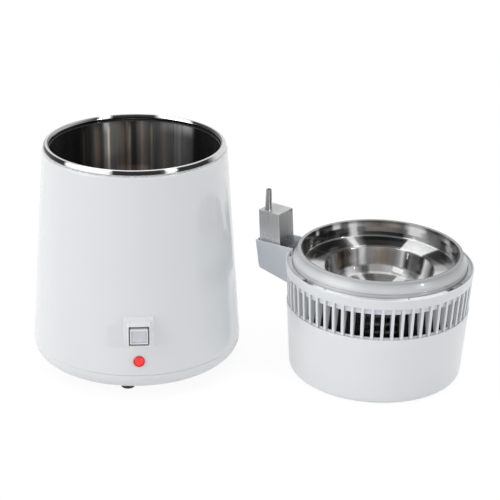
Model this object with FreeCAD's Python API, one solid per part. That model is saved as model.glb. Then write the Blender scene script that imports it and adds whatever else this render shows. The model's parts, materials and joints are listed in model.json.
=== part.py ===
import FreeCAD, Part
import math
import os

V = FreeCAD.Vector
os.makedirs("parts", exist_ok=True)

# Driving dimensions, in mm.

# boiler: painted steel shell, a cone that is widest at the seam
seam_height = 30.0
seam_radius = 112.1
shell_top = 239.6              # upper face of the shell's turned-in lip
shell_top_radius = 96.6
shell_wall = 1.2
shell_lip_inner_radius = 90.6
shell_flange_width = 20.0      # turned-in flange at the seam, for the base screws
shell_lip_round = 1.6          # corner between the wall and the turned-in lip
cut_reach = 20.0               # how far a cutter runs each way through the wall

# boiler: moulded base pan and feet
floor_height = 11.7            # underside of the base pan over the bench
base_edge_radius = 98.4
base_wall = 2.4
seam_gap = 0.5
foot_radius = 8.0
foot_circle_radius = 78.0
foot_pocket_radius = 5.0
foot_pocket_depth = 4.0
foot_nut_radius = 4.0
foot_nut_height = 3.0
foot_count = 4
foot_angle = -98.4
base_screw_radius = 1.8
base_screw_circle = 97.0
base_screw_recess_radius = 4.2
base_screw_recess = 4.0
base_boss_radius = 5.0
foot_boss_radius = 5.5
foot_taper = 0.8
foot_screw_tail = 0.2          # past the nut
base_vent_rings = (30.0, 44.0)
base_vent_length = 11.0
base_vent_width = 3.2
base_vent_count = 16
foot_screw_radius = 2.0

# boiler: stainless pot and its polished rim
pot_inner_radius = 88.6
pot_taper = 2.0
pot_floor_height = 60.0        # underside of the pot's floor
pot_wall = 0.8
pot_corner = 9.0
bead_ring_radius = 91.9
bead_radius = 3.2
bead_sink = 0.7                # how much of the bead's round is flattened onto the flange
pot_flange_reach = 2.2         # flange past the middle of the bead

# boiler: heater and what hangs on the pot's stud
heater_radius = 72.0
heater_plate_thickness = 7.0
heater_tube_radius = 4.0
heater_loop_radius = 54.0
stud_radius = 3.0
stud_length = 26.0
stud_room = 6.0
heater_loop_drop = 1.0         # middle of the tube below the plate
heater_loop_gap = 30.0
heater_turn = 15.0
clamp_bar_length = 96.0
clamp_bar_width = 16.0
clamp_bar_thickness = 2.5
clamp_turn = 75.0
clamp_nut_radius = 5.5
clamp_nut_height = 5.0
shield_radius = 84.0
shield_height = 24.0           # underside of the heat shield
shield_wall = 0.8
shield_rise = 8.0
shield_flare = 4.0
shield_bend = 0.5
shield_hole_radius = 14.0
terminal_reach = 34.0
terminal_size = (30.0, 18.0, 9.0)
terminal_pitch = 9.0
terminal_hole_radius = 2.2
terminal_screw_radius = 1.4
terminal_turn = 60.0
terminal_rows = 3
heater_lead = 12.0
heater_pin = 6.0
heater_pin_radius = 1.4
clamp_pad_reach = 34.0
clamp_pad_half = 5.0
thermostat_reach = 26.0
thermostat_flange = 3.0
thermostat_radius = 8.0
thermostat_height = 6.5
thermostat_angles = (165.0, 345.0)
thermostat_rim = 1.0
tab_size = (2.0, 6.0, 9.0)
tab_side = 4.5

# boiler: push switch and lamp on the front
switch_height = 78.6
switch_plate_width = 31.0
switch_plate_height = 32.0
switch_plate_thickness = 1.8
collar_width = 23.4
collar_depth = 12.5
collar_wall = 1.5
button_width = 18.2
button_height = 15.6
button_proud = 1.8             # how far the button stands past the collar
button_travel = 3.0
window_border = 1.4
window_recess = 0.9
switch_box_front = 5.5         # how far the switch's body reaches into the collar
switch_box_depth = 11.0
collar_round = 0.6
button_round = 0.5
button_stem_half = 4.0
window_thickness = 1.2
switch_tab_size = (4.8, 5.0, 0.8)
switch_tab_side = 5.0
frame_grip = 4.0               # how deep a flange is drawn before the wall trims its back
lamp_height = 45.8
lamp_radius = 5.9
lamp_stem_radius = 4.0
lamp_bezel_proud = 1.8
lamp_bezel_border = 1.1
lamp_dome_radius = 9.0
lamp_dome_proud = 2.4
lamp_lens_wall = 1.0
lamp_lens_depth = 1.8
lamp_lens_length = 8.0
lamp_sleeve_length = 14.0
lamp_nut_radius = 7.0
lamp_nut_height = 3.0
lamp_nut_depth = 2.2

# boiler: sockets on the back
inlet_height = 46.5
inlet_width = 31.0
inlet_tall = 24.0
inlet_depth = 22.0
inlet_flange = 2.0
inlet_margin = 2.5
inlet_screw_spacing = 40.0
inlet_screw_radius = 1.9
inlet_screw_length = 9.0
inlet_ear = 5.0
inlet_wall = 2.4
inlet_back_wall = 5.0
inlet_pin_size = (2.0, 25.0, 4.0)
inlet_pin_start = 3.0
inlet_pin_spots = ((-7.0, -2.0), (0.0, 3.0), (7.0, -2.0))
outlet_angle = 32.0            # fan socket, round the back from the mains inlet
outlet_radius = 9.0
outlet_rim = 3.0
outlet_proud = 1.5
outlet_depth = 18.0
outlet_hole_radius = 1.5
outlet_hole_side = 3.5
outlet_hole_depth = 11.0
trim = 0.02                    # between a flange's back and the wall it sits on

# head, standing upside down beside the boiler
head_offset = (256.9, -42.4)   # head axis from boiler axis
arm_angle = 143.2
cover_foot_radius = 92.5       # outer radius carried down to the bench
cover_top = 76.6
cover_top_radius = 97.6
cover_wall = 2.2
cover_round = 8.2
cover_floor = 2.6
intake_radius = 62.0
intake_slot = 4.0
intake_bars = 24
intake_rings = ((24.0, 40.0), (44.0, intake_radius))
cover_post_radius = 4.0
cover_post_hole = 1.4
cover_tie_half = 1.2
cover_tie_drop = 4.0
motor_post_radius = 4.5
motor_post_hole = 1.4

# head: vent ring with its upright vanes and rim band
vane_pitch = 6.1
vane_start = -109.4
vane_width = 2.7
vane_depth = 10.5
band_bottom = 111.3
band_top = 121.8
band_bottom_radius = 99.0
band_top_radius = 99.8
band_wall = 2.4
hoop_bottom = 70.5
hoop_top = 78.0
hoop_outer_radius = 94.7
hoop_wall = 2.4
hoop_screw_radius = 1.5
hoop_screw_bite = 0.1
hoop_screw_shank = 0.2
rim_corner = 0.8
hoop_ear = 3.0
cover_screw_length = 12.0
cover_screw_inset = 3.0
vane_seat = 0.2
vane_step = 1.0
vane_hollow = 2.9
arm_post_radius = 3.4
arm_post_inset = 2.2

# head: outlet arm
arm_half_width = 18.5
arm_wall = 1.4
arm_top = 120.6
arm_length = 143.7
arm_end_lean = 4.1             # how far the end wall comes in towards the floor
arm_corner_height = 95.3
arm_floor_end = (132.5, 87.2)
arm_floor_start = (101.8, 78.7)
arm_inner_end = 90.0
arm_rib_width = 3.0
arm_rib_spots = (-8.0, 4.5)    # from the cup's middle
arm_rib_inset = 2.2            # how far a rib reaches under the cup
arm_rib_sink = 0.5
arm_floor_step = 2.5
arm_floor_bevel = 2.4
arm_tongue = 2.6
arm_tongue_half = 16.0
arm_screw_side = 11.0
arm_screw_length = 6.0

# head: carrier ring, steel dish and silicone gasket
carrier_outer_radius = 96.0
carrier_wall = 2.6
dish_edge_radius = 82.9
dish_floor_radius = 80.6
dish_floor_height = 118.8
shelf_inner_radius = 70.0
dish_edge_rise = 17.7
dish_edge_height = dish_floor_height + dish_edge_rise
shelf_drop = 1.8
shelf_top = dish_floor_height - shelf_drop
shelf_thickness = 2.5
carrier_depth = 12.0
carrier_lip = 3.5
carrier_bottom = shelf_top - carrier_depth
carrier_top = shelf_top + carrier_lip
notch_floor = 0.2
carrier_notches = ((-154.2, -145.1), (-136.0, -135.0), (-82.2, -81.2), (-53.8, -47.8),
                   (-40.0, -39.0), (10.0, 16.0), (55.0, 56.0), (95.0, 104.0))
arm_room = 1.0
dish_wall = 0.8
bowl_rim_radius = 57.9
bowl_rim_drop = 2.3
bowl_rim_height = dish_floor_height - bowl_rim_drop
bowl_base_radius = 44.0
bowl_base_height = 86.0
bowl_corner_reach = 10.2
bowl_corner_rise = 11.0
bowl_corner_middle = (7.2, 3.2)
bowl_corner_middle_outside = (7.8, 2.6)
dish_corner = 2.0
gasket_outer_radius = 92.4
gasket_shoulder_rise = 9.5
gasket_shoulder_height = shelf_top + gasket_shoulder_rise
gasket_lip_rise = 1.4
gasket_top = dish_edge_height + gasket_lip_rise
gasket_top_radius = 86.4
gasket_groove = 0.8
gasket_groove_drop = 3.0
gasket_foot_gap = 0.05

# head: condenser
coil_radius = 77.0
coil_tube_radius = 4.0
coil_bottom = 66.0
coil_pitch = 10.0
coil_levels = 4
fitting_wall = 0.8
crossover = (15.0, 45.0)
outlet_tip_rise = 3.0
steam_port_reach = 6.5
steam_bend_reach = 17.4
steam_tube_step = 0.6
steam_tube_wall = 0.9
steam_knee = 0.2
fin_inner_radius = 66.0
fin_outer_radius = 84.5
fin_bottom = 59.0
fin_top = 103.0
fin_thickness = 0.5
fin_pitch = 5.0
fin_end_gap = 8.0
steam_angle = 126.8
steam_port_height = 95.0
outlet_reach = 127.0

# head: fan and motor, on the cover's floor
fan_radius = 60.0
fan_hub_radius = 15.0
fan_bottom = 36.0
fan_hub_height = 16.0
fan_blades = 5
fan_hub_wall = 2.0
fan_hub_top = 3.0
fan_boss_wall = 3.0
blade_thickness = 1.8
blade_lean = 28.0
blade_chord = 34.0
shaft_radius = 2.5
motor_width = 46.0
motor_depth = 38.0
motor_core_height = 16.0
motor_bottom = 8.0
bracket_length = 84.0
bracket_width = 14.0
bracket_thickness = 1.6
bracket_screw_inset = 6.0
bracket_screw_radius = 1.2
bracket_screw_length = 5.0
bracket_hole_radius = 1.7
motor_bore = 11.0
motor_slot = (16.0, 12.5, 15.5)
winding_half = 13.0
winding_inner = 12.6
winding_outer = 15.4
winding_rise = 7.0
winding_bore = 11.5
rotor_radius = 10.2
bearing_radius = 6.0
bearing_height = 4.5
bottom_bearing_rise = 3.5
rotor_gap = (4.2, 0.6)
shaft_tail = 1.5
shaft_inset = 2.0
head_inlet_angle = 280.0
head_inlet_height = 40.0
head_inlet_radius = 9.0
head_inlet_rim = 2.5
head_inlet_proud = 1.5
head_inlet_depth = 14.5
head_inlet_wall = 2.0
head_inlet_pocket = 9.0
head_pin_radius = 1.2
head_pin_side = 3.0
head_pin_back = 16.0
head_pin_recess = 1.5

# nozzle cup that stands in the arm
cup_reach = 128.8
cup_length = 26.4
cup_width = 25.2
cup_top = 154.4
cup_bottom = 113.0
cup_wall = 0.8
cup_outer_taper = 2.2
cup_inner_taper = 3.4
cup_turn = -5.0
nozzle_reach = cup_reach + 5.2
nozzle_side = 7.7
nozzle_top = 178.5
nozzle_base_radius = 3.75
nozzle_tip_radius = 3.1
nozzle_bore_radius = 2.1
pod_clearance = 1.2
pod_height = 20.0
pod_gap = 0.1
nozzle_round = 0.5

# Clearances.
slip = 0.15                    # loose assembly gap
running = 0.05                 # radial gap of a turning or sliding fit
seat = 0.3                     # pieces that rest on each other across a joint


def turned(outline):
    """Solid of revolution about Z. An outline point is (r, z), or ((r, z) on the arc, (r, z) its end)."""
    first = V(outline[0][0], 0, outline[0][1])
    at = first
    edges = []
    for step in list(outline[1:]) + [outline[0]]:
        if isinstance(step[0], tuple):
            middle = V(step[0][0], 0, step[0][1])
            end = V(step[1][0], 0, step[1][1])
            edges.append(Part.Arc(at, middle, end).toShape())
        else:
            end = V(step[0], 0, step[1])
            if end.distanceToPoint(at) > 1e-6:
                edges.append(Part.makeLine(at, end))
        at = end
    return Part.Face(Part.Wire(edges)).revolve(V(0, 0, 0), V(0, 0, 1), 360)


def cylinder(radius, low, high, x=0.0, y=0.0):
    return Part.makeCylinder(radius, high - low, V(x, y, low))


def tube(outer, inner, low, high, x=0.0, y=0.0):
    return cylinder(outer, low, high, x, y).cut(cylinder(inner, low - 1, high + 1, x, y))


def block(x0, x1, y0, y1, z0, z1):
    return Part.makeBox(x1 - x0, y1 - y0, z1 - z0, V(x0, y0, z0))


def slab(points, half_width):
    """Upright plate: an outline in the XZ plane, as thick as twice half_width along Y."""
    corners = [V(x, -half_width, z) for x, z in points]
    return Part.Face(Part.makePolygon(corners + corners[:1])).extrude(V(0, 2 * half_width, 0))


def rod(start, end, radius):
    along = end - start
    return Part.makeCylinder(radius, along.Length, start, along)


def wall_rod(radius, start, end, x=0.0):
    """Rod along Y from start to end, drawn before it goes onto the wall."""
    return Part.makeCylinder(radius, end - start, V(x, start, 0), V(0, 1, 0))


def level_rod(radius, start, end, height):
    """Rod along X from start to end at a height."""
    return Part.makeCylinder(radius, end - start, V(start, 0, height), V(1, 0, 0))


def turn(shape, angle):
    copy = shape.copy()
    copy.rotate(V(0, 0, 0), V(0, 0, 1), angle)
    return copy


def around(radius, angle, z=0.0):
    return V(radius * math.cos(math.radians(angle)), radius * math.sin(math.radians(angle)), z)


def at(shape, place):
    copy = shape.copy()
    copy.translate(place)
    return copy


def joined(shapes):
    return shapes[0].multiFuse(shapes[1:]).removeSplitter() if len(shapes) > 1 else shapes[0]


def on_line(z, low, high):
    """Radius at height z on the straight line from low to high, both (r, z)."""
    return low[0] + (high[0] - low[0]) * (z - low[1]) / (high[1] - low[1])


def shell_radius(z):
    return on_line(z, (seam_radius, seam_height), (shell_top_radius, shell_top))


def cover_radius(z):
    return on_line(z, (cover_foot_radius, 0.0), (cover_top_radius, cover_top))


def band_radius(z):
    return on_line(z, (band_bottom_radius, band_bottom), (band_top_radius, band_top))


# the model's origin is the middle of the footprint, feet and inverted head standing on z = 0
wall_lean = math.degrees(math.atan2(seam_radius - shell_top_radius, shell_top - seam_height))
inlet_reach = inlet_flange * math.cos(math.radians(wall_lean))
inlet_reach += (inlet_tall / 2 + inlet_margin) * math.sin(math.radians(wall_lean))
footprint_left = -seam_radius
footprint_right = head_offset[0] + band_radius(band_top - rim_corner)
footprint_front = head_offset[1] - band_radius(band_top - rim_corner)
footprint_back = shell_radius(inlet_height) + inlet_reach
boiler_spot = V(-(footprint_left + footprint_right) / 2, -(footprint_front + footprint_back) / 2, 0)
head_spot = boiler_spot + V(head_offset[0], head_offset[1], 0)


def screw(place, direction, radius, length, head_radius=None, head_height=None):
    """Pan head screw: its head's seat is at place, its shank runs along direction."""
    head_radius = head_radius or radius * 1.9
    head_height = head_height or radius * 1.2
    shank = Part.makeCylinder(radius, length, place, direction)
    head = Part.makeCylinder(head_radius, head_height, place - direction * head_height, direction)
    drive = Part.makeBox(head_radius * 1.3, radius * 0.4, head_height * 0.5)
    drive.translate(V(-head_radius * 0.65, -radius * 0.2, 0))
    facing = FreeCAD.Placement(place - direction * head_height, FreeCAD.Rotation(V(0, 0, 1), direction))
    drive.Placement = facing.multiply(drive.Placement)
    return shank.fuse(head).cut(drive)


saved = []


def save(name, shape, spot):
    shapes = shape if isinstance(shape, list) else [shape]
    solids = [at(solid, spot) for piece in shapes for solid in piece.Solids]
    result = solids[0] if len(solids) == 1 else Part.makeCompound(solids)
    result.exportStep("parts/" + name + ".step")
    volume = sum(solid.Volume for solid in solids)
    saved.append((name, len(solids), volume, all(solid.isValid() for solid in solids)))


def save_boiler(name, shape):
    save(name, shape, boiler_spot)


def save_head(name, shape):
    """Head pieces are drawn with the arm along +X and turned into place."""
    shapes = shape if isinstance(shape, list) else [shape]
    save(name, [turn(piece, arm_angle) for piece in shapes], head_spot)


# Boiler shell, base and feet.
base_screw_angles = [foot_angle + 45 + 90 * k for k in range(4)]
foot_angles = [foot_angle + 360 / foot_count * k for k in range(foot_count)]


def on_wall(shape, height, angle=-90.0):
    """Carry a fitting drawn at the origin, facing -Y, onto the shell at a height and angle."""
    copy = shape.copy()
    copy.rotate(V(0, 0, 0), V(1, 0, 0), -wall_lean)
    copy.translate(V(0, -shell_radius(height), height))
    copy.rotate(V(0, 0, 0), V(0, 0, 1), angle + 90)
    return copy


def shell_core(grow=0.0):
    """Everything inside the shell's outer face, to trim the fittings' backs."""
    low, high = seam_height - 5, shell_top + 5
    return Part.makeCone(shell_radius(low) + grow, shell_radius(high) + grow, high - low, V(0, 0, low))


def make_shell():
    lip = shell_lip_round
    top_radius = shell_radius(shell_top)
    fold = shell_top - lip - shell_wall / 2
    flange_inner = seam_radius - shell_flange_width
    skin = turned([
        (seam_radius, seam_height),
        (shell_radius(shell_top - lip), shell_top - lip),
        ((top_radius - 0.3 * lip, shell_top - 0.3 * lip), (top_radius - lip, shell_top)),
        (shell_lip_inner_radius, shell_top),
        (shell_lip_inner_radius, shell_top - shell_wall),
        (top_radius - lip - shell_wall / 6, shell_top - shell_wall),
        (shell_radius(fold) - shell_wall, fold),
        (shell_radius(seam_height + shell_wall) - shell_wall, seam_height + shell_wall),
        (flange_inner, seam_height + shell_wall),
        (flange_inner, seam_height)])
    port = collar_width / 2 - collar_wall
    wide = inlet_width / 2 + slip
    tall = inlet_tall / 2 + slip
    switch_port = block(-port, port, -cut_reach, cut_reach, -port, port)
    inlet_port = block(-wide, wide, -cut_reach, cut_reach, -tall, tall)
    outlet_port = wall_rod(outlet_radius + slip, -cut_reach, cut_reach)
    cuts = [on_wall(switch_port, switch_height)]
    cuts.append(on_wall(wall_rod(lamp_stem_radius + slip, -cut_reach, cut_reach), lamp_height))
    cuts.append(on_wall(inlet_port, inlet_height, 90))
    cuts.append(on_wall(outlet_port, inlet_height, 90 + outlet_angle))
    for side in (-1, 1):
        bore = wall_rod(inlet_screw_radius + running, -cut_reach, cut_reach, side * inlet_screw_spacing / 2)
        cuts.append(on_wall(bore, inlet_height, 90))
    for angle in base_screw_angles:
        spot = around(base_screw_circle, angle)
        cuts.append(cylinder(base_screw_radius + running, seam_height - 1, seam_height + shell_wall + 1,
                             spot.x, spot.y))
    for cutter in cuts:
        skin = skin.cut(cutter)
    save_boiler("outer_shell", skin)


def make_base():
    shoulder = seam_height - seam_gap
    top_radius = seam_radius - seam_gap
    bend = (base_edge_radius + 0.74 * (top_radius - base_edge_radius),
            floor_height + 0.32 * (shoulder - floor_height))
    inner_bend = (bend[0] - base_wall * 0.8, bend[1] + base_wall * 0.6)
    inner_floor = floor_height + base_wall
    pan = turned([
        (0, floor_height), (base_edge_radius, floor_height), (bend, (top_radius, shoulder)),
        (top_radius - base_wall, shoulder), (inner_bend, (base_edge_radius - 1, inner_floor)),
        (0, inner_floor)])
    outside = turned([
        (0, floor_height), (base_edge_radius, floor_height), (bend, (top_radius, shoulder)),
        (top_radius, seam_height), (0, seam_height)])
    adds = []
    cuts = []
    for angle in base_screw_angles:
        spot = around(base_screw_circle, angle)
        adds.append(cylinder(base_boss_radius, floor_height + 1, seam_height, spot.x, spot.y))
        cuts.append(cylinder(base_screw_radius + slip, floor_height - 1, seam_height + 1, spot.x, spot.y))
        cuts.append(cylinder(base_screw_recess_radius, floor_height - 1, floor_height + base_screw_recess,
                             spot.x, spot.y))
    for angle in foot_angles:
        spot = around(foot_circle_radius, angle)
        adds.append(cylinder(foot_boss_radius, floor_height + 1, shield_height, spot.x, spot.y))
        cuts.append(cylinder(foot_screw_radius + slip, floor_height - 1, shield_height + 1, spot.x, spot.y))
    for k in range(base_vent_count):
        for radius in base_vent_rings:
            vent = block(radius, radius + base_vent_length, -base_vent_width / 2, base_vent_width / 2,
                         floor_height - 1, inner_floor + 1)
            cuts.append(turn(vent, 360 / base_vent_count * k))
    save_boiler("base_pan", joined([pan] + adds).common(outside).cut(Part.makeCompound(cuts)))


def make_feet():
    nut_low = shield_height + shield_wall
    screw_length = nut_low + foot_nut_height + foot_screw_tail - foot_pocket_depth
    feet = []
    screws = []
    nuts = []
    for angle in foot_angles:
        spot = around(foot_circle_radius, angle)
        foot = Part.makeCone(foot_radius - foot_taper, foot_radius, floor_height, spot)
        bore = cylinder(foot_screw_radius + slip, -1, floor_height + 1, spot.x, spot.y)
        pocket = cylinder(foot_pocket_radius, -1, foot_pocket_depth, spot.x, spot.y)
        feet.append(foot.cut(bore).cut(pocket))
        head_seat = spot + V(0, 0, foot_pocket_depth)
        screws.append(screw(head_seat, V(0, 0, 1), foot_screw_radius, screw_length))
        nut = cylinder(foot_nut_radius, nut_low, nut_low + foot_nut_height, spot.x, spot.y)
        nuts.append(nut.cut(cylinder(foot_screw_radius + running, 0, shield_height * 2, spot.x, spot.y)))
    save_boiler("rubber_feet", feet)
    save_boiler("foot_screws", screws)
    save_boiler("foot_nuts", nuts)
    base_screw_length = seam_height - floor_height - base_screw_recess + 2
    recess_top = floor_height + base_screw_recess
    save_boiler("base_screws", [screw(around(base_screw_circle, angle, recess_top), V(0, 0, 1),
                                      base_screw_radius, base_screw_length) for angle in base_screw_angles])


# Pot, rim and heater.
def make_pot():
    seat_top = shell_top + pot_wall
    low_radius = pot_inner_radius - pot_taper
    inner_floor = pot_floor_height + pot_wall
    outer_corner = pot_corner + pot_wall
    inner_inset = pot_corner * (1 - math.sqrt(0.5))
    outer_inset = outer_corner * (1 - math.sqrt(0.5))
    flange = bead_ring_radius + pot_flange_reach
    pot = turned([
        (0, pot_floor_height), (low_radius - pot_corner, pot_floor_height),
        ((low_radius + pot_wall - outer_inset, pot_floor_height + outer_inset),
         (low_radius + pot_wall, pot_floor_height + outer_corner)),
        (pot_inner_radius + pot_wall, shell_top), (flange, shell_top), (flange, seat_top),
        (pot_inner_radius, seat_top), (low_radius, inner_floor + pot_corner),
        ((low_radius - inner_inset, inner_floor + inner_inset), (low_radius - pot_corner, inner_floor)),
        (0, inner_floor)])
    save_boiler("boiling_pot", pot)
    rise = bead_radius - bead_sink
    half = math.sqrt(bead_radius ** 2 - rise ** 2)
    crown = seat_top + rise + bead_radius
    bead = turned([
        (bead_ring_radius - half, seat_top), (bead_ring_radius + half, seat_top),
        ((bead_ring_radius + bead_radius, seat_top + rise), (bead_ring_radius, crown)),
        ((bead_ring_radius - bead_radius, seat_top + rise), (bead_ring_radius - half, seat_top))])
    save_boiler("rim_bead", bead)
    return crown


def make_thermostat(angle, plate_low):
    """Can, rim and two terminal tabs, under the heater plate."""
    place = around(thermostat_reach, angle)
    can_low = plate_low - thermostat_height
    wide, deep, tall = tab_size
    can = cylinder(thermostat_radius, can_low, plate_low, place.x, place.y)
    rim_radius = thermostat_radius + thermostat_flange
    rim = cylinder(rim_radius, plate_low - thermostat_rim, plate_low, place.x, place.y)
    tab = block(-wide / 2, wide / 2, -deep / 2, deep / 2, can_low - tall, can_low)
    tabs = [at(tab, place + V(side * tab_side, 0, 0)) for side in (-1, 1)]
    return joined([can.fuse(rim)] + tabs)


def make_heater():
    top = pot_floor_height
    low = top - heater_plate_thickness
    loop_height = low - heater_loop_drop
    plate = cylinder(heater_radius, low, top).cut(cylinder(stud_radius + stud_room, low - 1, top + 1))
    groove = Part.makeTorus(heater_loop_radius, heater_tube_radius + slip, V(0, 0, loop_height), V(0, 0, 1))
    save_boiler("heater_plate", plate.cut(groove))
    loop_span = 360 - heater_loop_gap
    loop = Part.makeTorus(heater_loop_radius, heater_tube_radius, V(0, 0, loop_height), V(0, 0, 1),
                          -180, 180, loop_span)
    ends = []
    for angle in (0, loop_span):
        foot = around(heater_loop_radius, angle, loop_height)
        drop = foot - V(0, 0, heater_lead)
        ends.append(rod(foot + V(0, 0, 1), drop, heater_tube_radius * 0.8))
        ends.append(rod(drop, drop - V(0, 0, heater_pin), heater_pin_radius))
    save_boiler("heater_tube", joined([turn(loop.fuse(ends), heater_turn)]))
    save_boiler("pot_stud", cylinder(stud_radius, top - stud_length, top))
    bar_low = loop_height - heater_tube_radius - clamp_bar_thickness - slip
    bar_top = bar_low + clamp_bar_thickness
    half = clamp_bar_length / 2
    side = clamp_bar_width / 2
    pads = [block(s * clamp_pad_reach - clamp_pad_half, s * clamp_pad_reach + clamp_pad_half,
                  -side, side, bar_low + 1, low) for s in (-1, 1)]
    bar = joined([block(-half, half, -side, side, bar_low, bar_top)] + pads)
    bar = bar.cut(cylinder(stud_radius + slip, bar_low - 1, low))
    save_boiler("heater_clamp", turn(bar, clamp_turn))
    nut_low = bar_low - clamp_nut_height
    corners = [around(clamp_nut_radius, 60 * k, nut_low) for k in range(7)]
    nut = Part.Face(Part.makePolygon(corners)).extrude(V(0, 0, clamp_nut_height))
    save_boiler("clamp_nut", nut.cut(cylinder(stud_radius + running, nut_low - 1, bar_low + 1)))
    save_boiler("boil_dry_thermostat", make_thermostat(thermostat_angles[0], low))
    save_boiler("overheat_thermostat", make_thermostat(thermostat_angles[1], low))


def make_shield():
    low = shield_height
    base = low + shield_wall
    flared = shield_radius + shield_flare
    dish = turned([
        (0, low), (shield_radius, low), (flared, low + shield_rise),
        (flared - shield_wall, low + shield_rise), (shield_radius - shield_bend, base), (0, base)])
    holes = [cylinder(shield_hole_radius, low - 1, base + 1)]
    for angle in foot_angles:
        spot = around(foot_circle_radius, angle)
        holes.append(cylinder(foot_screw_radius + slip, low - 1, base + 1, spot.x, spot.y))
    save_boiler("heat_shield", dish.cut(Part.makeCompound(holes)))
    length, width, height = terminal_size
    middle = base + height / 2
    body = block(terminal_reach, terminal_reach + length, -width / 2, width / 2, base, base + height)
    places = [(terminal_reach + terminal_pitch * (k + 2 / 3), side * width / 4.5)
              for k in range(terminal_rows) for side in (-1, 1)]
    for x, y in places:
        body = body.cut(cylinder(terminal_hole_radius, middle, base + height + 1, x, y))
    save_boiler("terminal_block", turn(body, terminal_turn))
    reach = terminal_screw_radius * 2
    head_radius = terminal_hole_radius - slip
    screws = [screw(V(x, y, middle + reach), V(0, 0, -1), terminal_screw_radius, reach, head_radius)
              for x, y in places]
    save_boiler("terminal_screws", [turn(piece, terminal_turn) for piece in screws])


# Switch, lamp and sockets.
def rim_edges(shape, face):
    """Edges that lie wholly in the plane Y = face."""
    return [edge for edge in shape.Edges
            if abs(edge.BoundBox.YMin - face) < 0.01 and abs(edge.BoundBox.YMax - face) < 0.01]


def make_switch():
    wide = switch_plate_width / 2
    tall = switch_plate_height / 2
    outer = collar_width / 2
    inner = outer - collar_wall
    front = -(switch_plate_thickness + collar_depth)
    plate = block(-wide, wide, -switch_plate_thickness, frame_grip, -tall, tall)
    collar = block(-outer, outer, front, 1 - switch_plate_thickness, -outer, outer)
    frame = plate.fuse(collar)
    frame = frame.makeFillet(collar_round, rim_edges(frame, front))
    frame = frame.cut(block(-inner, inner, front - 1, frame_grip + 5, -inner, inner))
    save_boiler("switch_frame", on_wall(frame, switch_height).cut(shell_core(trim)))

    neck = inner - slip
    stem = button_stem_half
    room = stem + slip
    button_back = -switch_box_front - button_travel - seat
    stem_end = -switch_box_front + button_travel
    tab_wide, tab_long, tab_thick = switch_tab_size
    back_box = block(-neck, neck, -switch_box_front, switch_box_depth, -neck, neck)
    stem_hole = block(-room, room, -switch_box_front - 1, stem_end + button_travel + seat, -room, room)
    tab = block(-tab_wide / 2, tab_wide / 2, switch_box_depth, switch_box_depth + tab_long,
                -tab_thick / 2, tab_thick / 2)
    tabs = [at(tab, V(side * switch_tab_side, 0, 0)) for side in (-1, 1)]
    save_boiler("switch_body", on_wall(joined([back_box.cut(stem_hole)] + tabs), switch_height))

    face = front - button_proud
    half_wide = button_width / 2
    half_tall = button_height / 2
    button = block(-half_wide, half_wide, face, button_back, -half_tall, half_tall)
    button = button.makeFillet(button_round, rim_edges(button, face))
    wide = half_wide - window_border
    tall = half_tall - window_border
    window_front = face + window_recess
    window_back = window_front + window_thickness
    button = button.cut(block(-wide, wide, face - 1, window_back, -tall, tall))
    button = button.fuse(block(-stem, stem, button_back - 1, stem_end, -stem, stem)).removeSplitter()
    save_boiler("switch_button", on_wall(button, switch_height))
    lens = block(-wide + slip, wide - slip, window_front, window_back, -tall + slip, tall - slip)
    save_boiler("button_window", on_wall(lens, switch_height))


def make_lamp():
    lens_radius = lamp_radius - lamp_bezel_border
    lens_back = lamp_lens_depth - lamp_dome_proud
    stem_radius = lamp_stem_radius - lamp_lens_wall
    dome = Part.makeSphere(lamp_dome_radius, V(0, lamp_dome_radius - lamp_dome_proud, 0))
    dome = dome.common(wall_rod(lens_radius, -lamp_dome_proud - 1, lens_back))
    stem_start = lens_back - 0.1
    lens = dome.fuse(wall_rod(stem_radius, stem_start, stem_start + lamp_lens_length))
    save_boiler("lamp_lens", on_wall(lens, lamp_height))
    bezel = on_wall(wall_rod(lamp_radius, -lamp_bezel_proud, frame_grip - 1), lamp_height)
    bezel = bezel.cut(shell_core(trim))
    sleeve = on_wall(wall_rod(lamp_stem_radius, -0.5, lamp_sleeve_length - 0.5), lamp_height)
    bore = on_wall(wall_rod(stem_radius + slip, -cut_reach, cut_reach), lamp_height)
    seat_cut = on_wall(wall_rod(lens_radius + slip, -cut_reach, lens_back), lamp_height)
    save_boiler("lamp_bezel", bezel.fuse(sleeve).cut(bore).cut(seat_cut))
    nut = wall_rod(lamp_nut_radius, lamp_nut_depth, lamp_nut_depth + lamp_nut_height)
    nut = nut.cut(wall_rod(lamp_stem_radius + running, 0, cut_reach))
    save_boiler("lamp_nut", on_wall(nut, lamp_height))


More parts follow.
